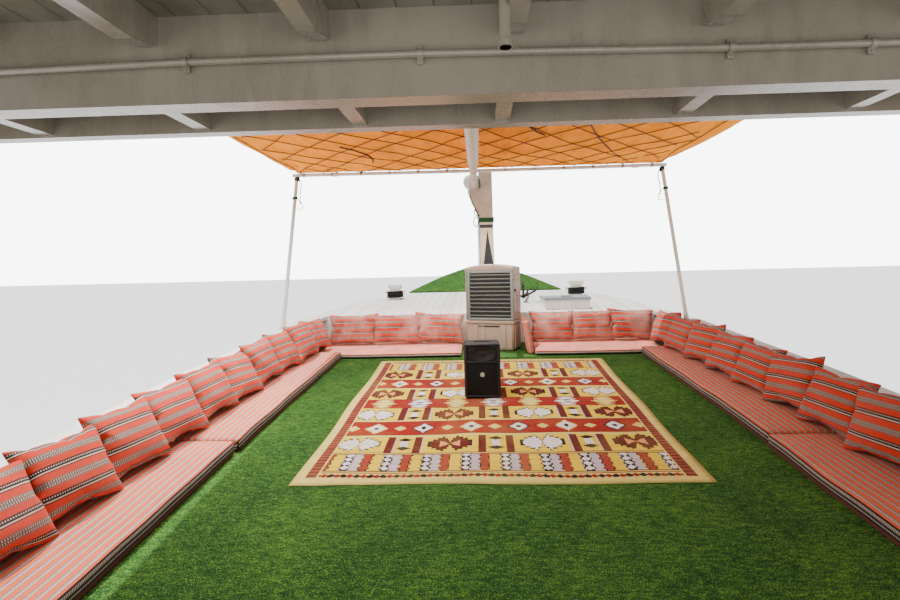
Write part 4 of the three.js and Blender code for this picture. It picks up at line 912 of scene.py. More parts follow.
class Surface:
    """A CAD node's surface, to lay things on."""

    def __init__(self, node: str) -> None:
        """Reads the node's mesh once."""
        mesh = NODES[node].data
        points = [vert.co.copy() for vert in mesh.vertices]
        self.tree = BVHTree.FromPolygons(points, [tuple(face.vertices) for face in mesh.polygons])
        self.low, self.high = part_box(node)

    def z(self, x: float, y: float) -> float:
        """Height of the surface at a place, seen from above."""
        x = min(max(x, self.low[0] + 1e-3), self.high[0] - 1e-3)
        y = min(max(y, self.low[1] + 1e-3), self.high[1] - 1e-3)
        hit = self.tree.ray_cast(Vector((x, y, self.high[2] + 1)), Vector((0, 0, -1)))[0]
        return hit.z if hit else self.high[2]


def in_slot(node: str, axis: int, low: float, high: float) -> tuple[Vector, Vector]:
    """Lowest and highest corners of a node's vertices between two places on an axis."""
    found = [vert.co for vert in NODES[node].data.vertices if low < vert.co[axis] < high]
    return (Vector([min(co[i] for co in found) for i in range(3)]),
            Vector([max(co[i] for co in found) for i in range(3)]))


@dataclass
class SoftSheet:
    """A sheet of cloth drawn over a shape."""

    name: str
    across: int
    along: int
    thick: float = 0.003

    def lay(self, x: Pair, y: Pair, height: Callable[[float, float], float],
            finish: Any, replaces: Sequence[str], shape: Callable[[float, float], Point] | None = None
            ) -> tuple[Object, float]:
        """Lays the sheet over a field of heights.

        Args:
            x: its ends along the boat.
            y: its sides.
            height: height of the cloth at a place.
            finish: its finish.
            replaces: CAD nodes that it stands for.
            shape: moves a place of the sheet in plan before its height is taken.

        Returns:
            The object and the cloth's area in square metres.
        """
        bm = bmesh.new()
        bmesh.ops.create_grid(bm, x_segments=self.along, y_segments=self.across, size=0.5)
        weave = bm.loops.layers.uv.new("weave")
        for vert in bm.verts:
            place = (x[0] + (vert.co.x + 0.5) * (x[1] - x[0]), y[0] + (vert.co.y + 0.5) * (y[1] - y[0]))
            for loop in vert.link_loops:
                loop[weave].uv = place
            moved = shape(*place) if shape else place
            vert.co = (moved[0], moved[1], height(*moved))
        bmesh.ops.recalc_face_normals(bm, faces=bm.faces)
        area = sum(face.calc_area() for face in bm.faces)
        mesh = bpy.data.meshes.new(self.name)
        bm.to_mesh(mesh)
        bm.free()
        mesh.shade_smooth()
        piece = dressed(self.name, mesh, finish, "root", replaces)
        solid = piece.modifiers.new("cloth_thickness", "SOLIDIFY")
        solid.thickness = self.thick
        solid.offset = 0.0
        return piece, area


@dataclass
class Cushion:
    """A back cushion: two striped panels sewn round their edge and stuffed, with eared corners."""

    width: float = 0.585
    height: float = 0.50
    depth: float = 0.18
    gap: float = 0.012
    cell: float = 0.024
    pressure: float = 5.0
    settle: int = 20

    def blown(self, seed: int) -> Mesh:
        """Sews two flat panels and fills them by cloth simulation.

        Args:
            seed: makes each cushion's folds its own.

        Returns:
            The cushion's mesh about its centre: x across, y up, z to the front.
        """
        bm = bmesh.new()
        across, up = int(self.width / self.cell), int(self.height / self.cell)
        bmesh.ops.create_grid(bm, x_segments=across, y_segments=up, size=0.5,
                              matrix=Matrix.Diagonal((self.width, self.height, 1.0, 1.0)))
        rim = [edge for edge in bm.edges if edge.is_boundary]
        back = bmesh.ops.duplicate(bm, geom=bm.verts[:] + bm.edges[:] + bm.faces[:])["geom"]
        back_faces = [item for item in back if isinstance(item, bmesh.types.BMFace)]
        back_verts = [item for item in back if isinstance(item, bmesh.types.BMVert)]
        bmesh.ops.reverse_faces(bm, faces=back_faces)
        bmesh.ops.translate(bm, verts=back_verts, vec=(0, 0, -self.gap))
        rim += [item for item in back if isinstance(item, bmesh.types.BMEdge) and item.is_boundary]
        bmesh.ops.bridge_loops(bm, edges=rim)
        bmesh.ops.recalc_face_normals(bm, faces=bm.faces)
        weave = bm.loops.layers.uv.new("weave")
        shift = Vector((seed * 7.3, seed * 3.1, 0.5))
        for vert in bm.verts:
            for loop in vert.link_loops:
                loop[weave].uv = (vert.co.x + 1.0, vert.co.y + 1.0 + 0.021 * seed)
            vert.co.z += 0.008 * noise.noise(vert.co * 9 + shift)
        mesh = bpy.data.meshes.new("cushion_panels")
        bm.to_mesh(mesh)
        bm.free()
        holder = stood("cushion_panels", mesh)
        cloth = holder.modifiers.new("stuffing", "CLOTH")
        cloth.settings.quality = 6
        cloth.settings.mass = 0.25
        cloth.settings.tension_stiffness = cloth.settings.compression_stiffness = 18
        cloth.settings.bending_stiffness = 0.35
        cloth.settings.use_pressure = True
        cloth.settings.uniform_pressure_force = self.pressure
        cloth.settings.effector_weights.gravity = 0.0
        cloth.point_cache.frame_end = self.settle + 1
        for step in range(1, self.settle + 1):
            bpy.context.scene.frame_set(step)
        graph = bpy.context.evaluated_depsgraph_get()
        blown = bpy.data.meshes.new_from_object(holder.evaluated_get(graph))
        bpy.data.objects.remove(holder)
        bpy.context.scene.frame_set(1)
        seam = self.gap / 2
        swell = self.depth / 2 / max(abs(vert.co.z + seam) for vert in blown.vertices)
        for vert in blown.vertices:
            vert.co.z = (vert.co.z + seam) * min(swell, 1.15)
        return blown

    def placed(self, blown: Mesh, name: str, centre: Vector, facing: Vector, lean: float,
               yaw: float, seed: int, node: str, finish: Any = CUSHION_WEAVE) -> Object:
        """Sets one cushion against the bulwark.

        Args:
            blown: the filled cushion's mesh.
            name: the piece's name.
            centre: the cushion's centre in the boat's frame.
            facing: level direction that its front looks in.
            lean: how far it leans back, in radians.
            yaw: turn about the upright, in radians.
            seed: for its own small differences.
            node: the CAD node that it stands for.
            finish: its cover.

        Returns:
            The cushion.
        """
        luck = random.Random(seed)
        turn = Matrix.Rotation(yaw, 3, "Z")
        front = turn @ (facing * math.cos(lean) + Vector((0, 0, math.sin(lean))))
        up = turn @ (-facing * math.sin(lean) + Vector((0, 0, math.cos(lean))))
        side = up.cross(front)
        basis = Matrix((side, up, front)).transposed().to_4x4()
        roll = Matrix.Rotation(luck.uniform(-0.07, 0.07), 4, "Z")
        size = Matrix.Diagonal((luck.uniform(0.97, 1.03), luck.uniform(0.96, 1.02), 1.0, 1.0))
        mesh = blown.copy()
        mesh.name = name
        slump = luck.uniform(-0.03, 0.03)
        for vert in mesh.vertices:
            vert.co.x += slump * vert.co.y / self.height
            vert.co.z += 0.012 * noise.noise(vert.co * 5 + Vector((seed, 0, 0)))
        shift = luck.uniform(0.0, 0.11)
        for loop in mesh.uv_layers["weave"].data:
            loop.uv.y += shift
        mesh.transform(Matrix.Translation(centre) @ basis @ roll @ size)
        mesh.shade_smooth()
        piece = dressed(name, mesh, finish, "root", (node,))
        fine = piece.modifiers.new("fuller", "SUBSURF")
        fine.levels = fine.render_levels = 1
        return piece


@dataclass
class Seating:
    """The well's seats: mattresses along three sides and a row of back cushions on each."""

    side_count: int = 11
    front_count: int = 3
    mat_round: float = 0.026
    side_wide: float = 0.600
    side_thick: float = 0.105
    front_thick: float = 0.062
    mat_cell: float = 0.11
    variants: int = 3
    fold_x: float = 4.64
    fold_y: float = -0.608

    def build(self) -> None:
        """Builds the cushions and the mattresses of all sides."""
        cushion = Cushion()
        blown = [cushion.blown(seed) for seed in range(self.variants)]
        for side in Side:
            self.side_cushions(cushion, blown, side)
            self.front_cushions(cushion, blown, side)
            self.side_mats(side)
            self.front_mat(side)

    def side_cushions(self, cushion: Cushion, blown: list[Mesh], side: Side) -> None:
        """Leans the cushions of one side, each turned a little over the next one forward."""
        node = f"cushions_{side.word}"
        low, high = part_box(node)
        pitch = (high[0] - low[0]) / self.side_count
        for i in range(self.side_count):
            start = low[0] + pitch * i
            least, most = in_slot(node, 0, start - 0.01, start + pitch + 0.01)
            centre = (least + most) / 2
            centre.x = start + pitch / 2
            seed = 40 + i * 3 + side.value
            luck = random.Random(seed)
            centre.z += luck.uniform(-0.012, 0.008)
            lean, turn = (0.46, -0.11) if side is Side.PORT else (0.38, 0.16)
            cushion.placed(blown[i % len(blown)], f"back_cushion_{side.word}_{i + 1}", centre,
                           Vector((0, -side.value, 0)), lean + luck.uniform(-0.05, 0.06),
                           turn + luck.uniform(-0.05, 0.05), seed, node)

    def front_cushions(self, cushion: Cushion, blown: list[Mesh], side: Side) -> None:
        """Stands the wider, paler cushions of one side against the step to the foredeck."""
        node = f"cushions_front_{side.word}"
        low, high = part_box(node)
        pitch = (high[1] - low[1]) / self.front_count
        for i in range(self.front_count):
            seed = 90 + i * 5 + side.value
            luck = random.Random(seed)
            centre = Vector(((low[0] + high[0]) / 2, low[1] + pitch * (i + 0.5), (low[2] + high[2]) / 2))
            wide = blown[(i + 1) % len(blown)].copy()
            wide.transform(Matrix.Diagonal((pitch / cushion.width * 1.24, 0.94, 0.95, 1.0)))
            cushion.placed(wide, f"front_cushion_{side.word}_{i + 1}", centre, Vector((-1, 0, 0)),
                           0.18 + luck.uniform(-0.04, 0.04), luck.uniform(-0.04, 0.04), seed, node,
                           PALE_CUSHION_WEAVE)

    def mattress(self, name: str, length: Pair, width: float, thick: float, seed: int,
                 place: Callable[[float, float, float], Point], finish: Any, node: str) -> None:
        """Makes one mattress: a stuffed slab with rounded edges, then bends it to its place.

        Args:
            name: the piece's name.
            length: where it starts and ends along its own stripes.
            width: across the stripes.
            thick: from its underside to its top.
            seed: makes its lumps its own.
            place: takes (run, offset, height) to a point of the boat.
            finish: its cover.
            node: the CAD node that it stands for.
        """
        piece = Piece(name)
        piece.block((length[0], 0, 0), (length[1], width, thick), self.mat_round, 3)
        for run, top in ((0, int((length[1] - length[0]) / self.mat_cell)), (1, int(width / self.mat_cell))):
            for i in range(1, top):
                middle = [0.0, 0.0, 0.0]
                normal = [0.0, 0.0, 0.0]
                middle[run] = (length[0] if run == 0 else 0.0) + i * self.mat_cell
                normal[run] = 1.0
                geom = piece.bm.verts[:] + piece.bm.edges[:] + piece.bm.faces[:]
                bmesh.ops.bisect_plane(piece.bm, geom=geom, dist=1e-4, plane_co=middle, plane_no=normal)
        weave = piece.bm.loops.layers.uv.new("weave")
        for vert in piece.bm.verts:
            drop = vert.co.z - thick
            rise = vert.co.y + (drop if vert.co.y < width / 2 else -drop)
            for loop in vert.link_loops:
                loop[weave].uv = (vert.co.x + 5.0, rise + 5.0)
        for vert in piece.bm.verts:
            run, offset, height = vert.co
            share = height / thick
            ends = min(run - length[0], length[1] - run)
            crown = min(1.0, min(ends, offset, width - offset) / 0.09)
            lump = noise.noise(Vector((run * 2.2 + seed, offset * 4, seed)))
            fine = noise.noise(Vector((run * 9 + seed, offset * 14, seed)))
            height += share * (0.012 * math.sqrt(max(crown, 0.0)) + 0.010 * lump + 0.004 * fine)
            vert.co = place(run, offset + 0.008 * lump, height)
        made = piece.done(finish, replaces=(node,), sharp=80)
        fine_form = made.modifiers.new("fuller", "SUBSURF")
        fine_form.levels = fine_form.render_levels = 1

    def side_mats(self, side: Side) -> None:
        """Lays the two mattresses of one side along the bulwark's curve."""
        node = f"mat_{side.word}"
        rows: dict[float, list[Vector]] = {}
        for vert in NODES[node].data.vertices:
            rows.setdefault(round(vert.co.x, 3), []).append(vert.co)
        table = sorted((x, min(abs(co.y) for co in row)) for x, row in rows.items()
                       if len({round(co.z, 4) for co in row}) > 1)
        low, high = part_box(node)
        split = 1.78
        for i, (start, end) in enumerate(((low[0], split - 0.013), (split + 0.013, high[0]))):
            outward = 0.022 if (i == 0) == (side is Side.PORT) else 0.0

            def place(run: float, offset: float, height: float) -> Point:
                """A point of the mattress, bent to the side's curve."""
                y = side.value * (level_at(table, run) + outward + offset)
                return (run, y, deck_z(run) + TURF_THICK + height)

            self.mattress(f"mattress_{side.word}_{i + 1}", (start, end), self.side_wide - outward, self.side_thick,
                          11 * i + side.value, place, MAT_WEAVE, node)

    def front_mat(self, side: Side) -> None:
        """Lays the mattress before the foredeck, with its stripes across the boat."""
        node = f"mat_front_{side.word}"
        low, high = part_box(node)

        def place(run: float, offset: float, height: float) -> Point:
            """A point of the mattress, turned across the boat."""
            x = low[0] + offset
            return (x, run, deck_z(x) + TURF_THICK + height)

        ends = (low[1], high[1]) if side is Side.PORT else (low[1], self.fold_y)
        self.mattress(f"mattress_front_{side.word}", ends, high[0] - low[0], self.front_thick,
                      31 + side.value, place, BLEACHED_WEAVE, node)
        if side is Side.STARBOARD:
            self.fold(node)

    def fold(self, node: str) -> None:
        """Leans the starboard mattress's spare end against the cooler, folded up from the deck."""

        def place(run: float, offset: float, height: float) -> Point:
            """A point of the fold: its run goes up, and its thickness towards the cooler."""
            x = self.fold_x + offset
            return (x, self.fold_y + height + 0.151 * run, deck_z(x) + TURF_THICK + run)

        self.mattress("mattress_fold", (0.0, 0.44), 0.35, 0.084, 53, place, FOLD_WEAVE, node)


@dataclass
class Awning:
    """Canvas over the well, its rope net, and the pipes, poles and knots that hold it."""

    front_x: float = 4.9
    pipe_z: float = 4.285
    pipe_radius: float = 0.024
    pole_heads: tuple[Point, Point] = ((4.9, 2.612, 4.27), (4.9, -2.42, 4.27))
    pole_feet: tuple[Point, Point] = ((4.5, 2.70, 2.205), (4.5, -2.54, 2.205))
    net_pitch: float = 0.47
    net_radius: float = 0.0045
    scallop: float = 0.012
    let_out: float = 0.10
    pleats: int = 15
    eyelets: int = 13

    def build(self) -> None:
        """Builds the canvas, the net under it, and what carries its front edge."""
        self.cad = Surface("awning_canvas")
        self.low, self.high = self.cad.low, self.cad.high
        self.middle = (self.low[1] + self.high[1]) / 2
        self.half = (self.high[1] - self.low[1]) / 2 - 0.012
        sheet, area = SoftSheet("awning_cloth", 130, 130).lay(
            (self.low[0] + 0.01, self.high[0] - 0.004), (self.middle - self.half, self.middle + self.half),
            self.height, AWNING_CANVAS, ("awning_canvas",), self.shape)
        self.net()
        self.front_pipe()
        self.poles()
        self.lacing()

    def height(self, x: float, y: float) -> float:
        """Height of the canvas: its sag between ropes, its edge ripples and the pleats at its corners."""
        rest = self.cad.z(x, y) - 0.003
        ahead = max(0.0, (x - self.high[0] + 0.9) / 0.9)
        across = (y - self.middle) / self.half
        ripple = 0.014 * math.sin(y * 6.1 + 1.3 * math.sin(x * 2)) * ahead * (1 - ahead)
        pleat = 0.0
        for side in Side:
            back, inboard = self.high[0] + 0.05 - x, self.half + 0.04 - side.value * (y - self.middle)
            away = math.hypot(back, inboard)
            fold = math.sin(self.pleats * math.atan2(back, inboard) + side.value)
            pleat += 0.034 * fold * math.exp(-away / 0.75) * min(1.0, away / 0.3)
        cells = noise.noise(Vector((x * 1.9, y * 1.9, 0.3)))
        crease = abs(noise.noise(Vector((x * 1.1 + 4, y * 3.4, 1.7))))
        edge = min(1.0, (self.high[0] - x) / 0.12)
        return rest + (ripple + pleat + 0.018 * cells - 0.016 * crease * (1 - across ** 2)) * edge

    def shape(self, x: float, y: float) -> Point:
        """Draws the sides in between their lashings, and lets the starboard side out aft."""
        across = (y - self.middle) / self.half
        pull = self.scallop * abs(math.sin((x - self.low[0]) * math.pi / 0.82)) * abs(across) ** 4
        out = self.let_out * min(1.0, (self.high[0] - x) / 1.4) * max(0.0, -across) ** 3
        return (x, y - math.copysign(pull, across) - out)

    def net(self) -> None:
        """Stretches the diamonds of rope under the canvas, each a little out of line."""
        runs = []
        low_x, high_x = self.low[0] + 0.2, self.high[0] - 0.03
        half = self.half - 0.07
        for slope in (-1, 1):
            start = -half - (high_x - low_x) + (0.11 if slope > 0 else 0.0)
            while start < half + (high_x - low_x):
                points = []
                for i in range(41):
                    x = low_x + (high_x - low_x) * i / 40
                    stray = 0.16 * noise.noise(Vector((x * 0.9, start * 1.7, 3.0 + slope)))
                    y = slope * (start + (x - low_x) * 0.92) + stray
                    if abs(y) <= half:
                        points.append((x, self.middle + y, self.height(x, self.middle + y) - 0.011))
                if len(points) > 3:
                    runs.append(points)
                luck = random.Random(round(start * 100))
                start += self.net_pitch * luck.uniform(0.8, 1.2)
        for y in (self.middle - half, self.middle + half):
            xs = [low_x + (high_x - low_x) * i / 30 for i in range(31)]
            runs.append([(x, y, self.height(x, y) - 0.011) for x in xs])
        rope("awning_rope_net", runs, self.net_radius, NET_ROPE)
        slack = [[(x, y, self.height(x, y) - 0.017) for x, y in run] for run in (
            ((4.3, 1.42), (3.9, 1.28), (3.5, 1.62)), ((4.5, -1.75), (3.7, -1.28), (2.9, -1.0)),
            ((3.3, -0.62), (3.0, -0.3), (2.2, -0.35)))]
        rope("awning_slack_ropes", slack, 0.008, BLACK_ROPE)

    def front_pipe(self) -> None:
        """Builds the pipe under the front edge, sagging a little, with three sleeves on it."""
        pipe = Piece("front_pipe")
        low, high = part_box("awning_front_pipe")
        x, z, length = self.front_x, self.pipe_z, high[1] - low[1] - 0.004
        places = [(x, low[1] + 0.002 + length * i / 14, z - 0.008 * math.sin(math.pi * i / 14)) for i in range(15)]
        for start, end in zip(places, places[1:]):
            pipe.rod(start, end, self.pipe_radius, sides=20)
        for y in (low[1] + 0.42, self.middle + 0.31, high[1] - 0.6):
            pipe.rod((x, y - 0.04, z - 0.006), (x, y + 0.04, z - 0.006), self.pipe_radius + 0.004, sides=20)
        pipe.done(PIPE_PAINT, replaces=("awning_front_pipe",))

    def poles(self) -> None:
        """Builds the two raking poles with their foot plates on the cap rail."""
        for side, head, foot in zip(Side, self.pole_heads, self.pole_feet):
            node = f"awning_pole_{side.word}"
            pole = Piece(f"pole_{side.word}")
            head, foot = Vector(head), Vector(foot)
            pole.rod(foot, head - Vector((0, 0, 0.012)), self.pipe_radius, sides=20)
            pole.rod(foot, foot.lerp(head, 0.04), self.pipe_radius + 0.006, sides=20)
            plate = Matrix.Translation((foot.x, foot.y, foot.z + 0.001))
            pole.block((-0.055, -0.045, 0.0), (0.055, 0.045, 0.007), 0.003, 2, plate)
            for x in (-0.038, 0.038):
                for y in (-0.029, 0.029):
                    pole.rod(plate @ Vector((x, y, 0.006)), plate @ Vector((x, y, 0.013)), 0.007, sides=6)
            eye = foot.lerp(head, 0.46)
            pole.rod(eye - Vector((0, 0, 0.012)), eye + Vector((0, 0, 0.012)), self.pipe_radius + 0.003, sides=20)
            pole.done(PIPE_PAINT, replaces=(node,))

    def lacing(self) -> None:
        """Winds a thin rope round the pipe at the canvas's eyelets, and lashes the poles' heads."""
        runs = []
        low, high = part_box("awning_front_pipe")
        for i in range(self.eyelets):
            y = low[1] + 0.18 + (high[1] - low[1] - 0.36) * i / (self.eyelets - 1)
            runs.append([(self.front_x + 0.030 * math.cos(j * math.pi / 4), y + 0.002 * j,
                          self.pipe_z + 0.004 + 0.034 * math.sin(j * math.pi / 4)) for j in range(20)])
        rope("awning_lacing", runs, 0.0035, BLACK_ROPE)
        for side, head, foot in zip(Side, self.pole_heads, self.pole_feet):
            near, lower = Vector(head) - Vector((0, 0, 0.05)), Vector(foot).lerp(Vector(head), 0.84)
            hangs = ((0.0, 0.05, -0.01), (0.01, 0.055, -0.10), (0.0, 0.03, -0.22), (0.0, 0.036, -0.34))
            knot = wrap(near - Vector((0, 0, 0.02)), 0.031, 4.0, 0.014)
            knot += [near + Vector((x, -side.value * y, z)) for x, y, z in hangs]
            band = wrap(lower, 0.031, 3.0, 0.011)
            loops = ((0.0, 0.03, 0.02), (0.0, 0.11, -0.06), (0.01, 0.10, -0.16), (0.0, 0.033, -0.13))
            loop = [lower + Vector((x, -side.value * y, z)) for x, y, z in loops]
            rope(f"pole_lashing_{side.word}", [band, loop], 0.0055, GREEN_ROPE)
            rope(f"pole_head_knot_{side.word}", [knot], 0.0065, BLACK_ROPE)


@dataclass
class PostRigging:
    """What is lashed and laid about the king post, the ridge pole and the foredeck."""

    face_x: float = 5.388
    back_x: float = 5.562

    def build(self) -> None:
        """Builds the ridge pole, the post's cheek, its lashings and the ropes on the bollards."""
        self.ridge()
        self.cheek()
        self.lashings()
        self.bollard_ropes()

    def ridge(self) -> None:
        """Builds the ridge pole as a worn round timber with its collars and its prop."""
        pole = Piece("ridge_timber")
        y, z = 0.150, 4.135
        stations = [
            (-0.058, 0.0645), (0.6, 0.065), (1.5, 0.062), (2.6, 0.064), (3.72, 0.062), (3.74, 0.046), (4.10, 0.045),
            (4.106, 0.054), (4.194, 0.054), (4.2, 0.045), (4.57, 0.045), (4.576, 0.054), (4.664, 0.054),
            (4.67, 0.045), (5.255, 0.045), (5.262, 0.058), (5.33, 0.060), (5.355, 0.054), (5.388, 0.046)]
        profile = [(0.001, stations[0][0]), *[(radius, x) for x, radius in stations], (0.001, stations[-1][0])]
        turn = Matrix.Translation((0, y, z)) @ Matrix.Rotation(math.pi / 2, 4, "Y")
        pole.turned(profile, turn, 28)
        low, high = in_slot("ridge_pole", 2, 3.0, 4.0)
        pole.block((low.x + 0.002, low.y + 0.002, low.z), (high.x - 0.002, high.y - 0.002, z - 0.03), 0.008, 2)
        pole.done(RIDGE_PAINT, replaces=("ridge_pole",))

    def cheek(self) -> None:
        """Builds the rounded cheek on the post's port side, behind the ridge pole's end."""
        cheek = Piece("post_cheek")
        shape = Matrix.Translation((5.47, 0.214, 4.225)) @ Matrix.Diagonal((0.07, 0.098, 0.115, 1.0))
        bmesh.ops.create_uvsphere(cheek.bm, u_segments=32, v_segments=20, radius=1.0, matrix=shape)
        neck = Matrix.Translation((5.47, 0.20, 4.10)) @ Matrix.Diagonal((0.055, 0.05, 0.12, 1.0))
        bmesh.ops.create_uvsphere(cheek.bm, u_segments=24, v_segments=16, radius=1.0, matrix=neck)
        cheek.done(WHITE_PAINT)

    def band(self, z: float, turns: int, pitch: float, grow: float = 0.006) -> list[Point]:
        """Points of a rope wound round the post's square shaft."""
        y0, y1 = -0.121 - grow, 0.080 + grow
        x0, x1 = self.face_x - grow + 0.002, self.back_x + grow - 0.002
        corners = ((x0, y0), (x0, (y0 + y1) / 2), (x0, y1), (x1, y1), (x1, (y0 + y1) / 2), (x1, y0))
        points = []
        for i in range(turns * 6 + 1):
            x, y = corners[i % 6]
            points.append((x, y, z + pitch * i / 6))
            if i % 3 != 1:
                points.append((x, y, z + pitch * i / 6))
        return points

    def lashings(self) -> None:
        """Winds the green band, hangs its loop, and ties the head of the post."""
        green = [self.band(3.617, 3, 0.014), self.band(3.655, 2, 0.013)]
        x = self.face_x - 0.008
        for run in (
            ((0, 0.088, 3.672), (-0.01, 0.13, 3.70), (-0.012, 0.165, 3.66), (-0.008, 0.172, 3.59),
             (-0.006, 0.140, 3.545), (-0.006, 0.104, 3.56), (0, 0.092, 3.63)),
            ((0, 0.085, 3.69), (0, 0.105, 3.745), (0, 0.13, 3.79), (0, 0.163, 3.86), (0, 0.20, 3.94),
             (0.01, 0.220, 4.00)),
            ((0.01, 0.10, 3.72), (-0.004, 0.118, 3.76), (-0.004, 0.150, 3.80), (0, 0.166, 3.78),
             (0, 0.14, 3.73), (0, 0.10, 3.70)),
            ((0, 0.075, 4.255), (-0.006, 0.07, 4.21), (-0.004, 0.062, 4.16), (-0.002, 0.068, 4.12)),
            ((0.02, 0.06, 4.384), (0.05, 0.03, 4.392), (0.03, -0.02, 4.388), (0.06, -0.06, 4.386),
             (0.02, -0.10, 4.380), (0.002, -0.112, 4.36)),
            ((0.12, -0.10, 4.384), (0.08, -0.05, 4.391), (0.12, 0, 4.396), (0.08, 0.04, 4.390)),
        ):
            green.append([(x + ahead, y, z) for ahead, y, z in run])
        rope("post_green_lashing", green, 0.0085, GREEN_ROPE)
        rope("post_black_lashing", [self.band(3.636, 2, 0.012, 0.008)], 0.006, BLACK_ROPE)
        thin = [[(x, 0.200, 3.96), (x - 0.004, 0.208, 4.02), (x + 0.01, 0.218, 4.08)],
                [(x, 0.084, 3.60), (x + 0.002, 0.085, 3.45), (x + 0.002, 0.084, 3.2), (x + 0.002, 0.086, 2.9)]]
        rope("post_black_cord", thin, 0.0035, BLACK_ROPE)

    def bollard_ropes(self) -> None:
        """Coils dark rope round the foot of each bollard."""
        for side in Side:
            low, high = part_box(f"bollard_{side.word}")
            x, y = (low[0] + high[0]) / 2, (low[1] + high[1]) / 2
            deck = Surface("foredeck")
            foot = max(deck.z(x + a, y + b) for a in (-0.15, 0.15) for b in (-0.15, 0.15))
            luck = random.Random(7 + side.value)
            coil = []
            for i in range(5 * 14):
                turn, far = math.pi * i / 7, 0.142 + luck.uniform(-0.0036, 0.0036)
                coil.append((x + far * math.cos(turn), y + far * math.sin(turn), foot + 0.014 + 0.0235 * i / 14))
            rope(f"bollard_rope_{side.word}", [coil], 0.0125, BLACK_ROPE)


@dataclass
class Railings:
    """Turned balusters under moulded rails round the upper deck."""

    spacing: float = 0.16
    height: float = 0.9
    radius: float = 0.024

    def build(self) -> None:
        """Builds the four railings."""
        for word in ("front", "aft", "port", "starboard"):
            self.railing(word)

    def profile(self, tall: float) -> list[Pair]:
        """Radius and height of a turned baluster from its foot to its head."""
        r = self.radius
        shares = ((0.0, 0.001), (0.0, 0.9), (0.12, 0.9), (0.14, 0.55), (0.2, 0.95), (0.34, 1.1),
                  (0.48, 0.62), (0.5, 0.9), (0.52, 0.62), (0.66, 1.1), (0.8, 0.95), (0.86, 0.55),
                  (0.88, 0.9), (1.0, 0.9), (1.0, 0.001))
        return [(r * wide, tall * share) for share, wide in shares]

    def railing(self, word: str) -> None:
        """Follows one CAD railing: its rails and newels, and turned balusters between them."""
        node = f"railing_{word}"
        low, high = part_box(node)
        run = 0 if word in ("port", "starboard") else 1
        length = high[run] - low[run]
        count = round(length / self.spacing)
        rails, spindles = Piece(f"rails_{word}"), Piece(f"balusters_{word}")
        rows: dict[float, list[float]] = {}
        for vert in NODES[node].data.vertices:
            if vert.co.z > low[2] + self.height - 0.03:
                rows.setdefault(round(vert.co[run], 3), []).append(vert.co[1 - run])
        table = sorted((place, (min(row) + max(row)) / 2) for place, row in rows.items())
        centres = []
        for i in range(count + 1):
            place = low[run] + 0.04 + (length - 0.08) * i / count
            newel = i % 8 == 0 or i == count
            foot = Vector((place, level_at(table, place), low[2] + (0.001 if newel else 0.135)))
            if run:
                foot.xy = foot.yx
            centres.append(foot)
            stand = Matrix.Translation(foot)
            if newel:
                spindles.block((-0.03, -0.03, 0.0), (0.03, 0.03, self.height - 0.05), 0.004, 1, stand)
            else:
                spindles.turned(self.profile(self.height - 0.185), stand, 8)
        for start, end in zip(centres, centres[1:]):
            for bottom, top, half in ((0.09, 0.135, 0.03), (self.height - 0.05, self.height, 0.042)):
                self.bar(rails, start, end, low[2] + bottom, low[2] + top, half)
        rails.done(RAIL_WOOD, replaces=(node,))
        spindles.done(BALUSTER_WOOD, replaces=(node,))

    def bar(self, piece: Piece, start: Vector, end: Vector, bottom: float, top: float, half: float) -> None:
        """Adds one length of rail between two balusters, with eased edges."""
        along = end.xy - start.xy
        turn = Matrix.Rotation(math.atan2(along.y, along.x), 4, "Z")
        piece.block((-0.002, -half, bottom), (along.length + 0.002, half, top), 0.008, 2,
                    Matrix.Translation((start.x, start.y, 0)) @ turn)


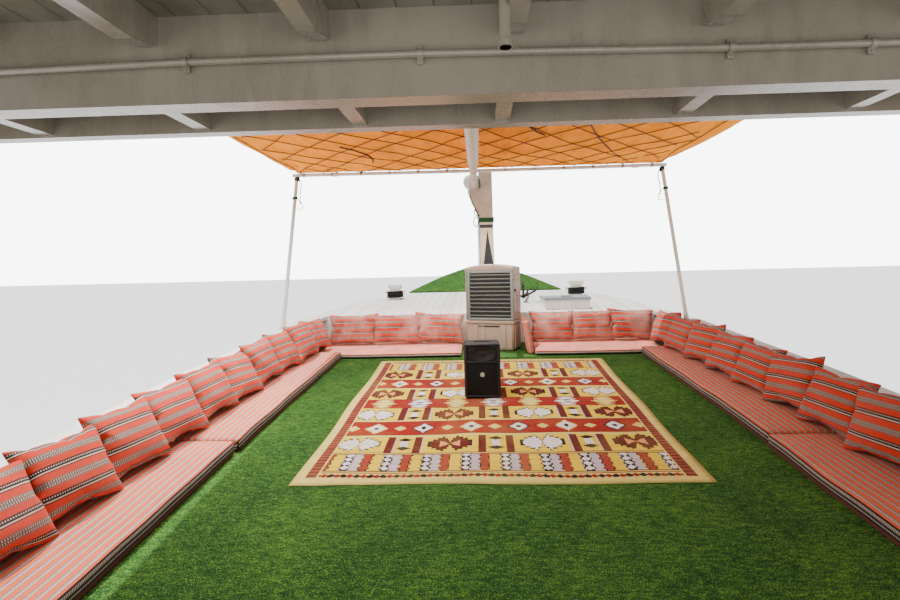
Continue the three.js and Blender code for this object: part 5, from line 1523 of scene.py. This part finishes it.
@dataclass
class Cooler:
    """Evaporative air cooler: arched cream shell, louvred outlet in a grey-green frame, grooved tank."""

    place: Matrix = Matrix.Translation((5.06, -0.078, 1.7965)) @ Matrix.Rotation(math.radians(-21), 4, "Z")
    deep: float = 0.18
    wide: float = 0.358
    tall: float = 1.195
    waist: float = 0.41
    slats: int = 11
    frame_wide: float = 0.052
    corner: float = 0.035

    def build(self) -> None:
        """Builds the shell, its outlet, the tank and the vents and knob of its side."""
        self.shell()
        self.tank()
        self.outlet()
        self.side_fittings()

    def shell(self) -> None:
        """Builds the housing with its arched top."""
        shell = Piece("cooler_shell")
        deep, wide = self.deep, self.wide
        shell.block((-deep + 0.006, -wide, self.tall - 0.105), (deep, wide, self.tall - 0.05), 0.02, 4)
        edges = [edge for edge in shell.bm.edges if abs(edge.verts[0].co.y - edge.verts[1].co.y) > 0.3]
        bmesh.ops.subdivide_edges(shell.bm, edges=edges, cuts=14, use_grid_fill=True)
        for vert in shell.bm.verts:
            if vert.co.z > self.tall - 0.085:
                vert.co.z += 0.044 * (1 - (vert.co.y / wide) ** 2)
        bmesh.ops.transform(shell.bm, matrix=self.place, verts=shell.bm.verts)
        shell.block((-deep + 0.04, -wide, self.waist), (deep, wide, self.tall - 0.06), 0.018, 4, self.place)
        shell.done(COOLER_SHELL, replaces=("air_cooler",))

    def tank(self) -> None:
        """Builds the tank, which tapers to the floor, with grooves and a hand slot whose recess is a dark plate of
        painted shade.
        """
        tank, slot = Piece("cooler_tank"), Piece("cooler_tank_slots")
        deep, wide, waist, place = self.deep, self.wide, self.waist, self.place
        body = tank.block((0.022 - deep, 0.008 - wide, 0.004), (deep - 0.012, wide - 0.008, waist - 0.02), 0.02, 4)
        for vert in body:
            share = 1 - vert.co.z / waist
            vert.co.y *= 1 - 0.05 * share
            vert.co.x *= 1 - 0.04 * share
        bmesh.ops.transform(tank.bm, matrix=place, verts=body)
        tank.block((0.002 - deep, 0.001 - wide, waist - 0.045), (deep - 0.002, wide - 0.001, waist), 0.012, 3, place)
        for y in (-0.29, -0.20, 0.10, 0.21):
            tank.block((0.012 - deep, y - 0.035, 0.03), (0.034 - deep, y + 0.035, waist - 0.06), 0.008, 3, place)
        for x in (-0.09, 0.02, 0.11):
            for y0, y1 in ((-wide, 0.012 - wide), (wide - 0.012, wide)):
                tank.block((x - 0.03, y0, 0.03), (x + 0.03, y1, waist - 0.06), 0.008, 3, place)
        tank.done(COOLER_SHELL)
        # The hand slot is a dark plate on the tank's face: painted shade of its recess.
        slot.block((0.008 - deep, -0.14, waist - 0.085), (0.026 - deep, 0.16, waist - 0.071), 0.004, 2, place)
        slot.done(COOLER_SHADE_AND_KNOB)

    def outlet(self) -> None:
        """Builds the framed outlet on the after side, with angled slats before a pad painted dark as shade."""
        face, wide = -self.deep, self.wide - 0.004
        z0, z1 = self.waist + 0.004, self.tall - 0.098
        rim = self.frame_wide
        pad, frame, grille = Piece("cooler_pad"), Piece("cooler_frame"), Piece("cooler_slats")
        # The pad behind the slats is dark as painted shade.
        pad.block((face + 0.030, 0.02 - wide, z0 + 0.02), (face + 0.0395, wide - 0.02, z1 - 0.02), place=self.place)
        pad.done(COOLER_SHADE_AND_KNOB)
        edge = wide - self.corner
        inner = (-wide + rim * 0.75, edge - rim * 0.8)
        bars = (((-wide, z0), (edge, z0 + 0.034)), ((-wide, z1 - 0.034), (edge, z1)),
                ((-wide, z0 + 0.01), (inner[0], z1 - 0.01)), ((inner[1], z0 + 0.01), (edge, z1 - 0.01)))
        for a, b in bars:
            frame.block((face + 0.001, *a), (face + 0.044, *b), 0.009, 3, self.place)
        frame.done(COOLER_GRILLE)
        step = (z1 - z0 - 0.068) / self.slats
        for i in range(self.slats):
            z = z0 + 0.034 + step * (i + 0.5)
            tilt = Matrix.Translation((face + 0.016, 0, z)) @ Matrix.Rotation(0.6, 4, "Y")
            grille.block((-0.016, inner[0], -0.003), (0.016, inner[1], 0.003), 0.0015, 2, self.place @ tilt)
        grille.done(COOLER_SLAT)

    def side_fittings(self) -> None:
        """Sets dark blocks of painted shade for the vents of both sides, and the knob on the starboard one."""
        dark = Piece("cooler_vents")
        deep, wide = self.deep, self.wide
        vents = [(self.tall - 0.16, 0.045, 0.09, 0.009), (self.tall - 0.23, 0.045, 0.09, 0.009)]
        vents += [(self.waist + 0.10 + i * 0.034, 0.12, 0.05, 0.006) for i in range(9)]
        # Each vent is a dark block on the side: painted shade of its opening.
        for y0, y1 in ((-wide, 0.01 - wide), (wide - 0.01, wide + 0.0015)):
            for z, aft, fore, half in vents:
                dark.block((aft - deep, y0, z - half), (deep - fore, y1, z + half), 0.002, 2, self.place)
        middle = Vector((0.07 - deep, -wide, self.tall - 0.37))
        start, end = self.place @ middle, self.place @ (middle + Vector((0, -0.018, 0)))
        dark.rod(start, end, 0.021, 0.017, 28)
        dark.done(COOLER_SHADE_AND_KNOB)


@dataclass
class Loudspeaker:
    """Portable loudspeaker: moulded case, horn above a mesh-fronted woofer, and a carrying handle."""

    margin: float = 0.022

    def build(self) -> None:
        """Builds the case with its horn, the mesh, the bare badge disc and the handle."""
        low, high = (Vector(corner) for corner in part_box("loudspeaker"))
        low.z = deck_z(low.x) + 0.013
        x, middle = low.x, (low.y + high.y) / 2
        tall = high.z - low.z
        case = Piece("speaker_case")
        case.block((x + 0.02, low.y, low.z), (high.x, high.y, high.z - 0.004), 0.035, 5)
        rim = self.margin
        z0, z1 = low.z + 0.04, high.z - 0.03
        split = low.z + tall * 0.66
        y0, y1 = low.y + 0.01, high.y - 0.01
        for a, b in (((y0, z0), (y0 + rim, z1)), ((y1 - rim, z0), (y1, z1)), ((y0, z0 - 0.02), (y1, z0)),
                     ((y0, z1), (y1, z1 + 0.02)), ((y0 + 0.01, split - 0.012), (y1 - 0.01, split + 0.012))):
            case.block((x, *a), (x + 0.04, *b), 0.009, 3)
        case.done(SPEAKER_CASE, replaces=("loudspeaker",))
        horn = Piece("speaker_horn")
        toward = Matrix.Translation((x + 0.004, middle, (split + z1) / 2)) @ Matrix.Rotation(math.pi / 2, 4, "Y")
        stretch = Matrix.Diagonal((0.52, 1.0, 1.0, 1.0))
        horn.turned(((0.001, 0.03), (0.03, 0.03), (0.045, 0.022), (0.085, 0.010), (0.125, 0.002), (0.135, 0.0),
                     (0.14, 0.006), (0.14, 0.028), (0.001, 0.034)), toward @ stretch, 40)
        horn.rod((x + 0.014, middle, (split + z1) / 2), (x + 0.03, middle, (split + z1) / 2), 0.026)
        horn.done(SPEAKER_CASE)
        mesh = Piece("speaker_mesh")
        mesh.block((x + 0.010, low.y + 0.025, z0 - 0.004), (x + 0.024, high.y - 0.025, split - 0.008), 0.006, 3)
        mesh.done(SPEAKER_MESH)
        badge = Piece("speaker_badge")
        z = z0 + (split - z0) * 0.62
        badge.turned(((0.001, 0.004), (0.012, 0.004), (0.016, 0.006), (0.021, 0.005), (0.023, 0.0), (0.001, 0.0)),
                     Matrix.Translation((x + 0.010, middle, z)) @ Matrix.Rotation(-math.pi / 2, 4, "Y"), 28)
        badge.done(SILVER)
        handle = Piece("speaker_handle")
        for y in (middle - 0.075, middle + 0.075):
            handle.block((x + 0.13, y - 0.014, high.z - 0.02), (x + 0.19, y + 0.014, high.z - 0.001), 0.008, 3)
        handle.block((x + 0.13, middle - 0.08, high.z - 0.007), (x + 0.19, middle + 0.08, high.z + 0.004),
                     0.005, 3)
        handle.done(SPEAKER_CASE)


@dataclass
class Rug:
    """The kilim, laid on the turf between the mattresses."""

    centre: Point = (2.824, -0.003)
    length: float = 3.10
    width: float = 2.78
    turn: float = -0.008
    lift: float = 0.0155
    drawn_in: float = 0.009

    def build(self) -> None:
        """Lays the rug, its edges a little uneven and its middle not quite flat."""
        cos, sin = math.cos(self.turn), math.sin(self.turn)

        def shape(along: float, across: float) -> Point:
            """Turns a place of the rug to its place on the deck, its edges drawn in and out."""
            side = (2 * across / self.width) ** 8
            end = (2 * along / self.length - 1) ** 8
            wide = across + self.drawn_in * side * math.sin(along * 4.1 + across)
            run = along - self.length / 2 + self.drawn_in * end * math.sin(across * 3.7 + along)
            return (self.centre[0] + run * cos - wide * sin, self.centre[1] + run * sin + wide * cos)

        def height(x: float, y: float) -> float:
            """Height of the rug over the turf, with the ripples that feet leave."""
            ripple = noise.noise(Vector((x * 2.1, y * 2.6, 4.0)))
            return deck_z(x) + self.lift + 0.007 * max(ripple, 0.0)

        half = self.width / 2
        sheet, _ = SoftSheet("kilim_rug", 60, 66, 0.005).lay(
            (0.0, self.length), (-half, half), height, KILIM, ("rug",), shape)


@dataclass
class Canopy:
    """Fabric roof over the upper deck, drawn over its bows, hollow between them, hemmed at its sides."""

    bows: tuple[float, ...] = (-8.3, -5.7, -3.0, -0.33)
    sag: float = 0.028
    pipe_reach: float = 0.45
    hem: float = 0.07

    def build(self) -> None:
        """Draws the roof over the bows and turns its sides down over the rails."""
        cad = Surface("canopy_cloth")
        low, high = cad.low, cad.high
        widths: dict[float, float] = {}
        for vert in NODES["canopy_cloth"].data.vertices:
            key = round(vert.co.x, 3)
            widths[key] = max(widths.get(key, 0.0), abs(vert.co.y))
        self.plan = sorted(widths.items())

        def height(x: float, y: float) -> float:
            """Height of the roof: the bows' arch, less the sag between them, and none along the ridge."""
            half = self.half(x)
            rest = cad.z(x, max(-half + 0.01, min(half - 0.01, y))) - 0.004
            between = 0.0
            for aft, fore in zip(self.bows, self.bows[1:]):
                if aft < x < fore:
                    between = math.sin(math.pi * (x - aft) / (fore - aft)) ** 0.8
            inner = (1 - min(1.0, abs(y) / half) ** 2) * min(1.0, (y / self.pipe_reach) ** 2)
            wrinkle = 0.006 * noise.noise(Vector((x * 1.2, y * 4.0, 2.0)))
            turned = max(0.0, abs(y) - half + 0.012)
            return rest - self.sag * between * inner + wrinkle * inner - turned * 6

        def shape(x: float, y: float) -> Point:
            """Follows the deck's plan, so that the hem stays just outside the rails."""
            return (x, math.sin(y / high[1] * math.pi / 2) * self.half(x))

        sheet, area = SoftSheet("canopy_roof", 48, 110).lay(
            (low[0] + 0.004, high[0] - 0.004), (low[1], high[1]), height, CANOPY_CANVAS, ("canopy_cloth",),
            shape)

    def half(self, x: float) -> float:
        """Half-width of the roof at a station."""
        return level_at(self.plan, x)


@dataclass
class Overhead:
    """Pipes and clips on the girder under the upper deck."""

    conduit_radius: float = 0.0115
    girder_face: float = -0.4142
    run: tuple[Pair, ...] = ((-2.3, 3.545), (-1.185, 3.557), (-0.671, 3.559), (-0.195, 3.569),
                             (0.29, 3.576), (1.034, 3.576), (1.65, 3.567), (2.3, 3.565))
    clips: tuple[float, ...] = (-1.95, -1.106, -0.679, 0.287, 1.04, 1.9)
    stub: Point = (-0.62, 0.03, 3.50)

    def build(self) -> None:
        """Runs the conduit along the girder and drops the stub pipe beside the ridge."""
        x = self.girder_face - self.conduit_radius - 0.004
        piece = Piece("lighting_conduit")
        for (y0, z0), (y1, z1) in zip(self.run, self.run[1:]):
            piece.rod((x, y0 - 0.002, z0), (x, y1 + 0.002, z1), self.conduit_radius, sides=16)
        for y in self.clips:
            z = level_at(self.run, y)
            piece.rod((x, y - 0.011, z), (x, y + 0.011, z), self.conduit_radius + 0.003, sides=16)
            piece.block((x + 0.004, y - 0.010, z - 0.030), (self.girder_face, y + 0.010, z + 0.030), 0.002)
            for rise in (-0.022, 0.022):
                piece.rod((x + 0.008, y, z + rise), (x + 0.001, y, z + rise), 0.006, 0.004, 12)
        piece.done(BEAM_PAINT)
        pipe = Piece("bilge_stub_pipe")
        x, y, z = self.stub
        pipe.rod((x, y, z), (x, y, 3.733), 0.017, sides=20)
        pipe.rod((x, y, z), (x, y, z + 0.022), 0.021, sides=20)
        pipe.done(BEAM_PAINT)


@dataclass
class CabinWindows:
    """The cabin's lights: enamelled frames lapping the walls, tinted panes, and a glazed light in each door."""

    half: float = 1.45
    wall: float = 0.06
    aft: float = -8.0
    front: float = -4.9
    bar: float = 0.035
    lap: float = 0.02
    proud: float = 0.010

    def build(self) -> None:
        """Frames and glazes the lights of the walls, and of the doors on their own bodies."""
        frame, panes = Piece("cabin_window_frames"), Piece("cabin_window_panes")
        for side in Side:
            wall = (side.value * (self.half - self.wall), side.value * self.half)
            for run in ((-7.75, -7.0), (-6.8, -6.05)):
                self.light(frame, panes, 1, wall, run, (2.25, 2.90))
            door, pane = Piece(f"door_light_frame_{side.word}"), Piece(f"door_light_pane_{side.word}")
            leaf = (side.value * (self.half - self.wall + 0.012), side.value * (self.half - 0.012))
            self.light(door, pane, 1, leaf, (-5.62, -5.24), (2.35, 2.90))
            door.done(JOINERY_WOOD, f"cabin_door_{side.word}")
            pane.done(GLASS, f"cabin_door_{side.word}")
        front, aft = (self.front - self.wall, self.front), (self.aft + self.wall, self.aft)
        for wall, run in (
                (front, (-1.25, -0.45)), (front, (-0.35, 0.35)), (front, (0.45, 1.25)),
                (aft, (-0.9, -0.2)), (aft, (0.2, 0.9))):
            self.light(frame, panes, 0, wall, run, (2.25, 2.95))
        frame.done(WHITE_PAINT)
        panes.done(GLASS)

    def light(self, frame: Piece, panes: Piece, normal: int, wall: Pair, run: Pair, rise: Pair) -> None:
        """Frames and glazes one opening of a wall.

        Args:
            frame: the piece that takes the bars.
            panes: the piece that takes the pane.
            normal: axis through the wall, 0 for x and 1 for y.
            wall: the wall's inner and outer face on that axis.
            run: the opening's sides.
            rise: the opening's sill and head.
        """
        out = math.copysign(1.0, wall[1] - wall[0])
        lap, bar = self.lap, self.bar
        faces = (wall[0] + out * 0.003, wall[1] + out * self.proud)
        inner = (wall[0] + out * 0.005, wall[1] + out * (self.proud - 0.002))
        middle = (wall[0] + wall[1]) / 2
        sides = (run[0] - lap, run[1] + lap)
        bars = ((frame, sides, (rise[0] - lap, rise[0] + bar), faces),
                (frame, sides, (rise[1] - bar, rise[1] + lap), faces),
                (frame, (sides[0] + 0.002, run[0] + bar), rise, inner),
                (frame, (run[1] - bar, sides[1] - 0.002), rise, inner),
                (panes, (run[0] + 0.01, run[1] - 0.01), (rise[0] + 0.01, rise[1] - 0.01),
                 (middle - 0.003, middle + 0.003)))
        for piece, u, z, deep in bars:
            corners = [[a, b, c] if normal else [b, a, c] for a, b, c in zip(u, sorted(deep), z)]
            piece.block(*corners, 0.003 if piece is frame else 0.0)


@dataclass
class Studio:
    """Camera at the photographer's eye, pale floor at the waterline, sky light and a soft sun."""

    eye: Point = (-2.0, 0.12, 2.885)
    yaw: float = 1.8
    roll: float = -1.33
    lens: float = 20.0
    shift_x: float = -0.0137
    shift_y: float = -0.0311
    sky_light: float = 0.62
    sky_seen: float = 9.0

    def build(self) -> None:
        """Sets the camera, the floor and the lights."""
        camera = bpy.data.cameras.new("photographer")
        camera.lens = self.lens
        camera.sensor_width = 36.0
        camera.shift_x = self.shift_x
        camera.shift_y = self.shift_y
        camera.clip_end = 900.0
        eye = stood("photographer", camera)
        yaw = math.radians(self.yaw)
        ahead = Vector((math.cos(yaw), math.sin(yaw), 0.0))
        look = ahead.to_track_quat("-Z", "Y").to_matrix().to_4x4()
        eye.matrix_world = Matrix.Translation(self.eye) @ look @ Matrix.Rotation(math.radians(self.roll), 4, "Z")
        bpy.context.scene.camera = eye
        floor = Piece("studio_floor")
        bmesh.ops.create_grid(floor.bm, x_segments=1, y_segments=1, size=400.0)
        mesh = bpy.data.meshes.new("studio_floor")
        floor.bm.to_mesh(mesh)
        floor.bm.free()
        mesh.materials.append(Graph("matt_studio_floor").close(None, Base_Color="#f2f2f0", Roughness=0.9))
        ground = stood("studio_floor", mesh)
        world = bpy.data.worlds.new("studio_sky")
        bpy.context.scene.world = world
        world.use_nodes = True
        sky = world.node_tree.nodes["Background"]
        sky.inputs["Color"].default_value = linear("#eef1f5")
        seen = world.node_tree.nodes.new("ShaderNodeLightPath")
        power = world.node_tree.nodes.new("ShaderNodeMapRange")
        power.inputs["To Min"].default_value = self.sky_light
        power.inputs["To Max"].default_value = self.sky_seen
        world.node_tree.links.new(seen.outputs["Is Camera Ray"], power.inputs["Value"])
        world.node_tree.links.new(power.outputs["Result"], sky.inputs["Strength"])
        self.lamp("SUN", "noon_sun", 6.5, (0.16, 0.235, 1.0), (-0.16, -0.235, -1.0), math.radians(0.6))
        self.lamp("AREA", "under_deck_fill", 40.0, (-2.4, 0.0, 2.6), (1.0, 0.0, 0.25), 2.4)
        self.lamp("AREA", "front_fill", 45.0, (3.9, 0.0, 3.5), (0.14, 0.0, -1.0), 2.4)
        self.lamp("AREA", "port_fill", 150.0, (2.2, 2.0, 3.95), (0.0, -0.12, -1.0), 2.0)

    def lamp(self, kind: str, name: str, power: float, place: Point, aim: Point, spread: float) -> None:
        """Hangs a lamp that the camera doesn't see.

        Args:
            kind: SUN or AREA.
            name: the lamp's name.
            power: its strength, in W/m2 for a sun and W for an area lamp.
            place: where it hangs.
            aim: the direction that it shines in.
            spread: the sun's angle in radians, or the area lamp's size in metres.
        """
        light = bpy.data.lights.new(name, kind)
        light.energy = power
        if kind == "SUN":
            light.angle = spread
        else:
            light.size = spread
        lamp = stood(name, light)
        turn = Vector(aim).to_track_quat("-Z", "Y").to_matrix().to_4x4()
        lamp.matrix_world = Matrix.Translation(place) @ turn
        lamp.visible_camera = False


def finish_nodes() -> None:
    """Gives each CAD node that shows its own finish."""
    for finish, nodes in NODE_FINISHES.items():
        for node in nodes:
            data = NODES[node].data
            if not data.materials:
                data.materials.append(material_of(finish))
            for i in range(len(data.materials)):
                data.materials[i] = material_of(finish)


def main() -> None:
    """Builds the sub-assemblies in order and reports each one."""
    logging.basicConfig(level=logging.INFO, format="%(name)s: %(message)s")
    Studio().build()
    finish_nodes()
    log.info("finishes on %d CAD nodes", len(NODES))
    for part in (Overhead(), Awning(), PostRigging(), Canopy(), Railings(), CabinWindows(), Rug(), Cooler(),
                 Loudspeaker(), Seating()):
        part.build()
        log.info("built %s", type(part).__name__)


if __name__ == "__main__":
    main()
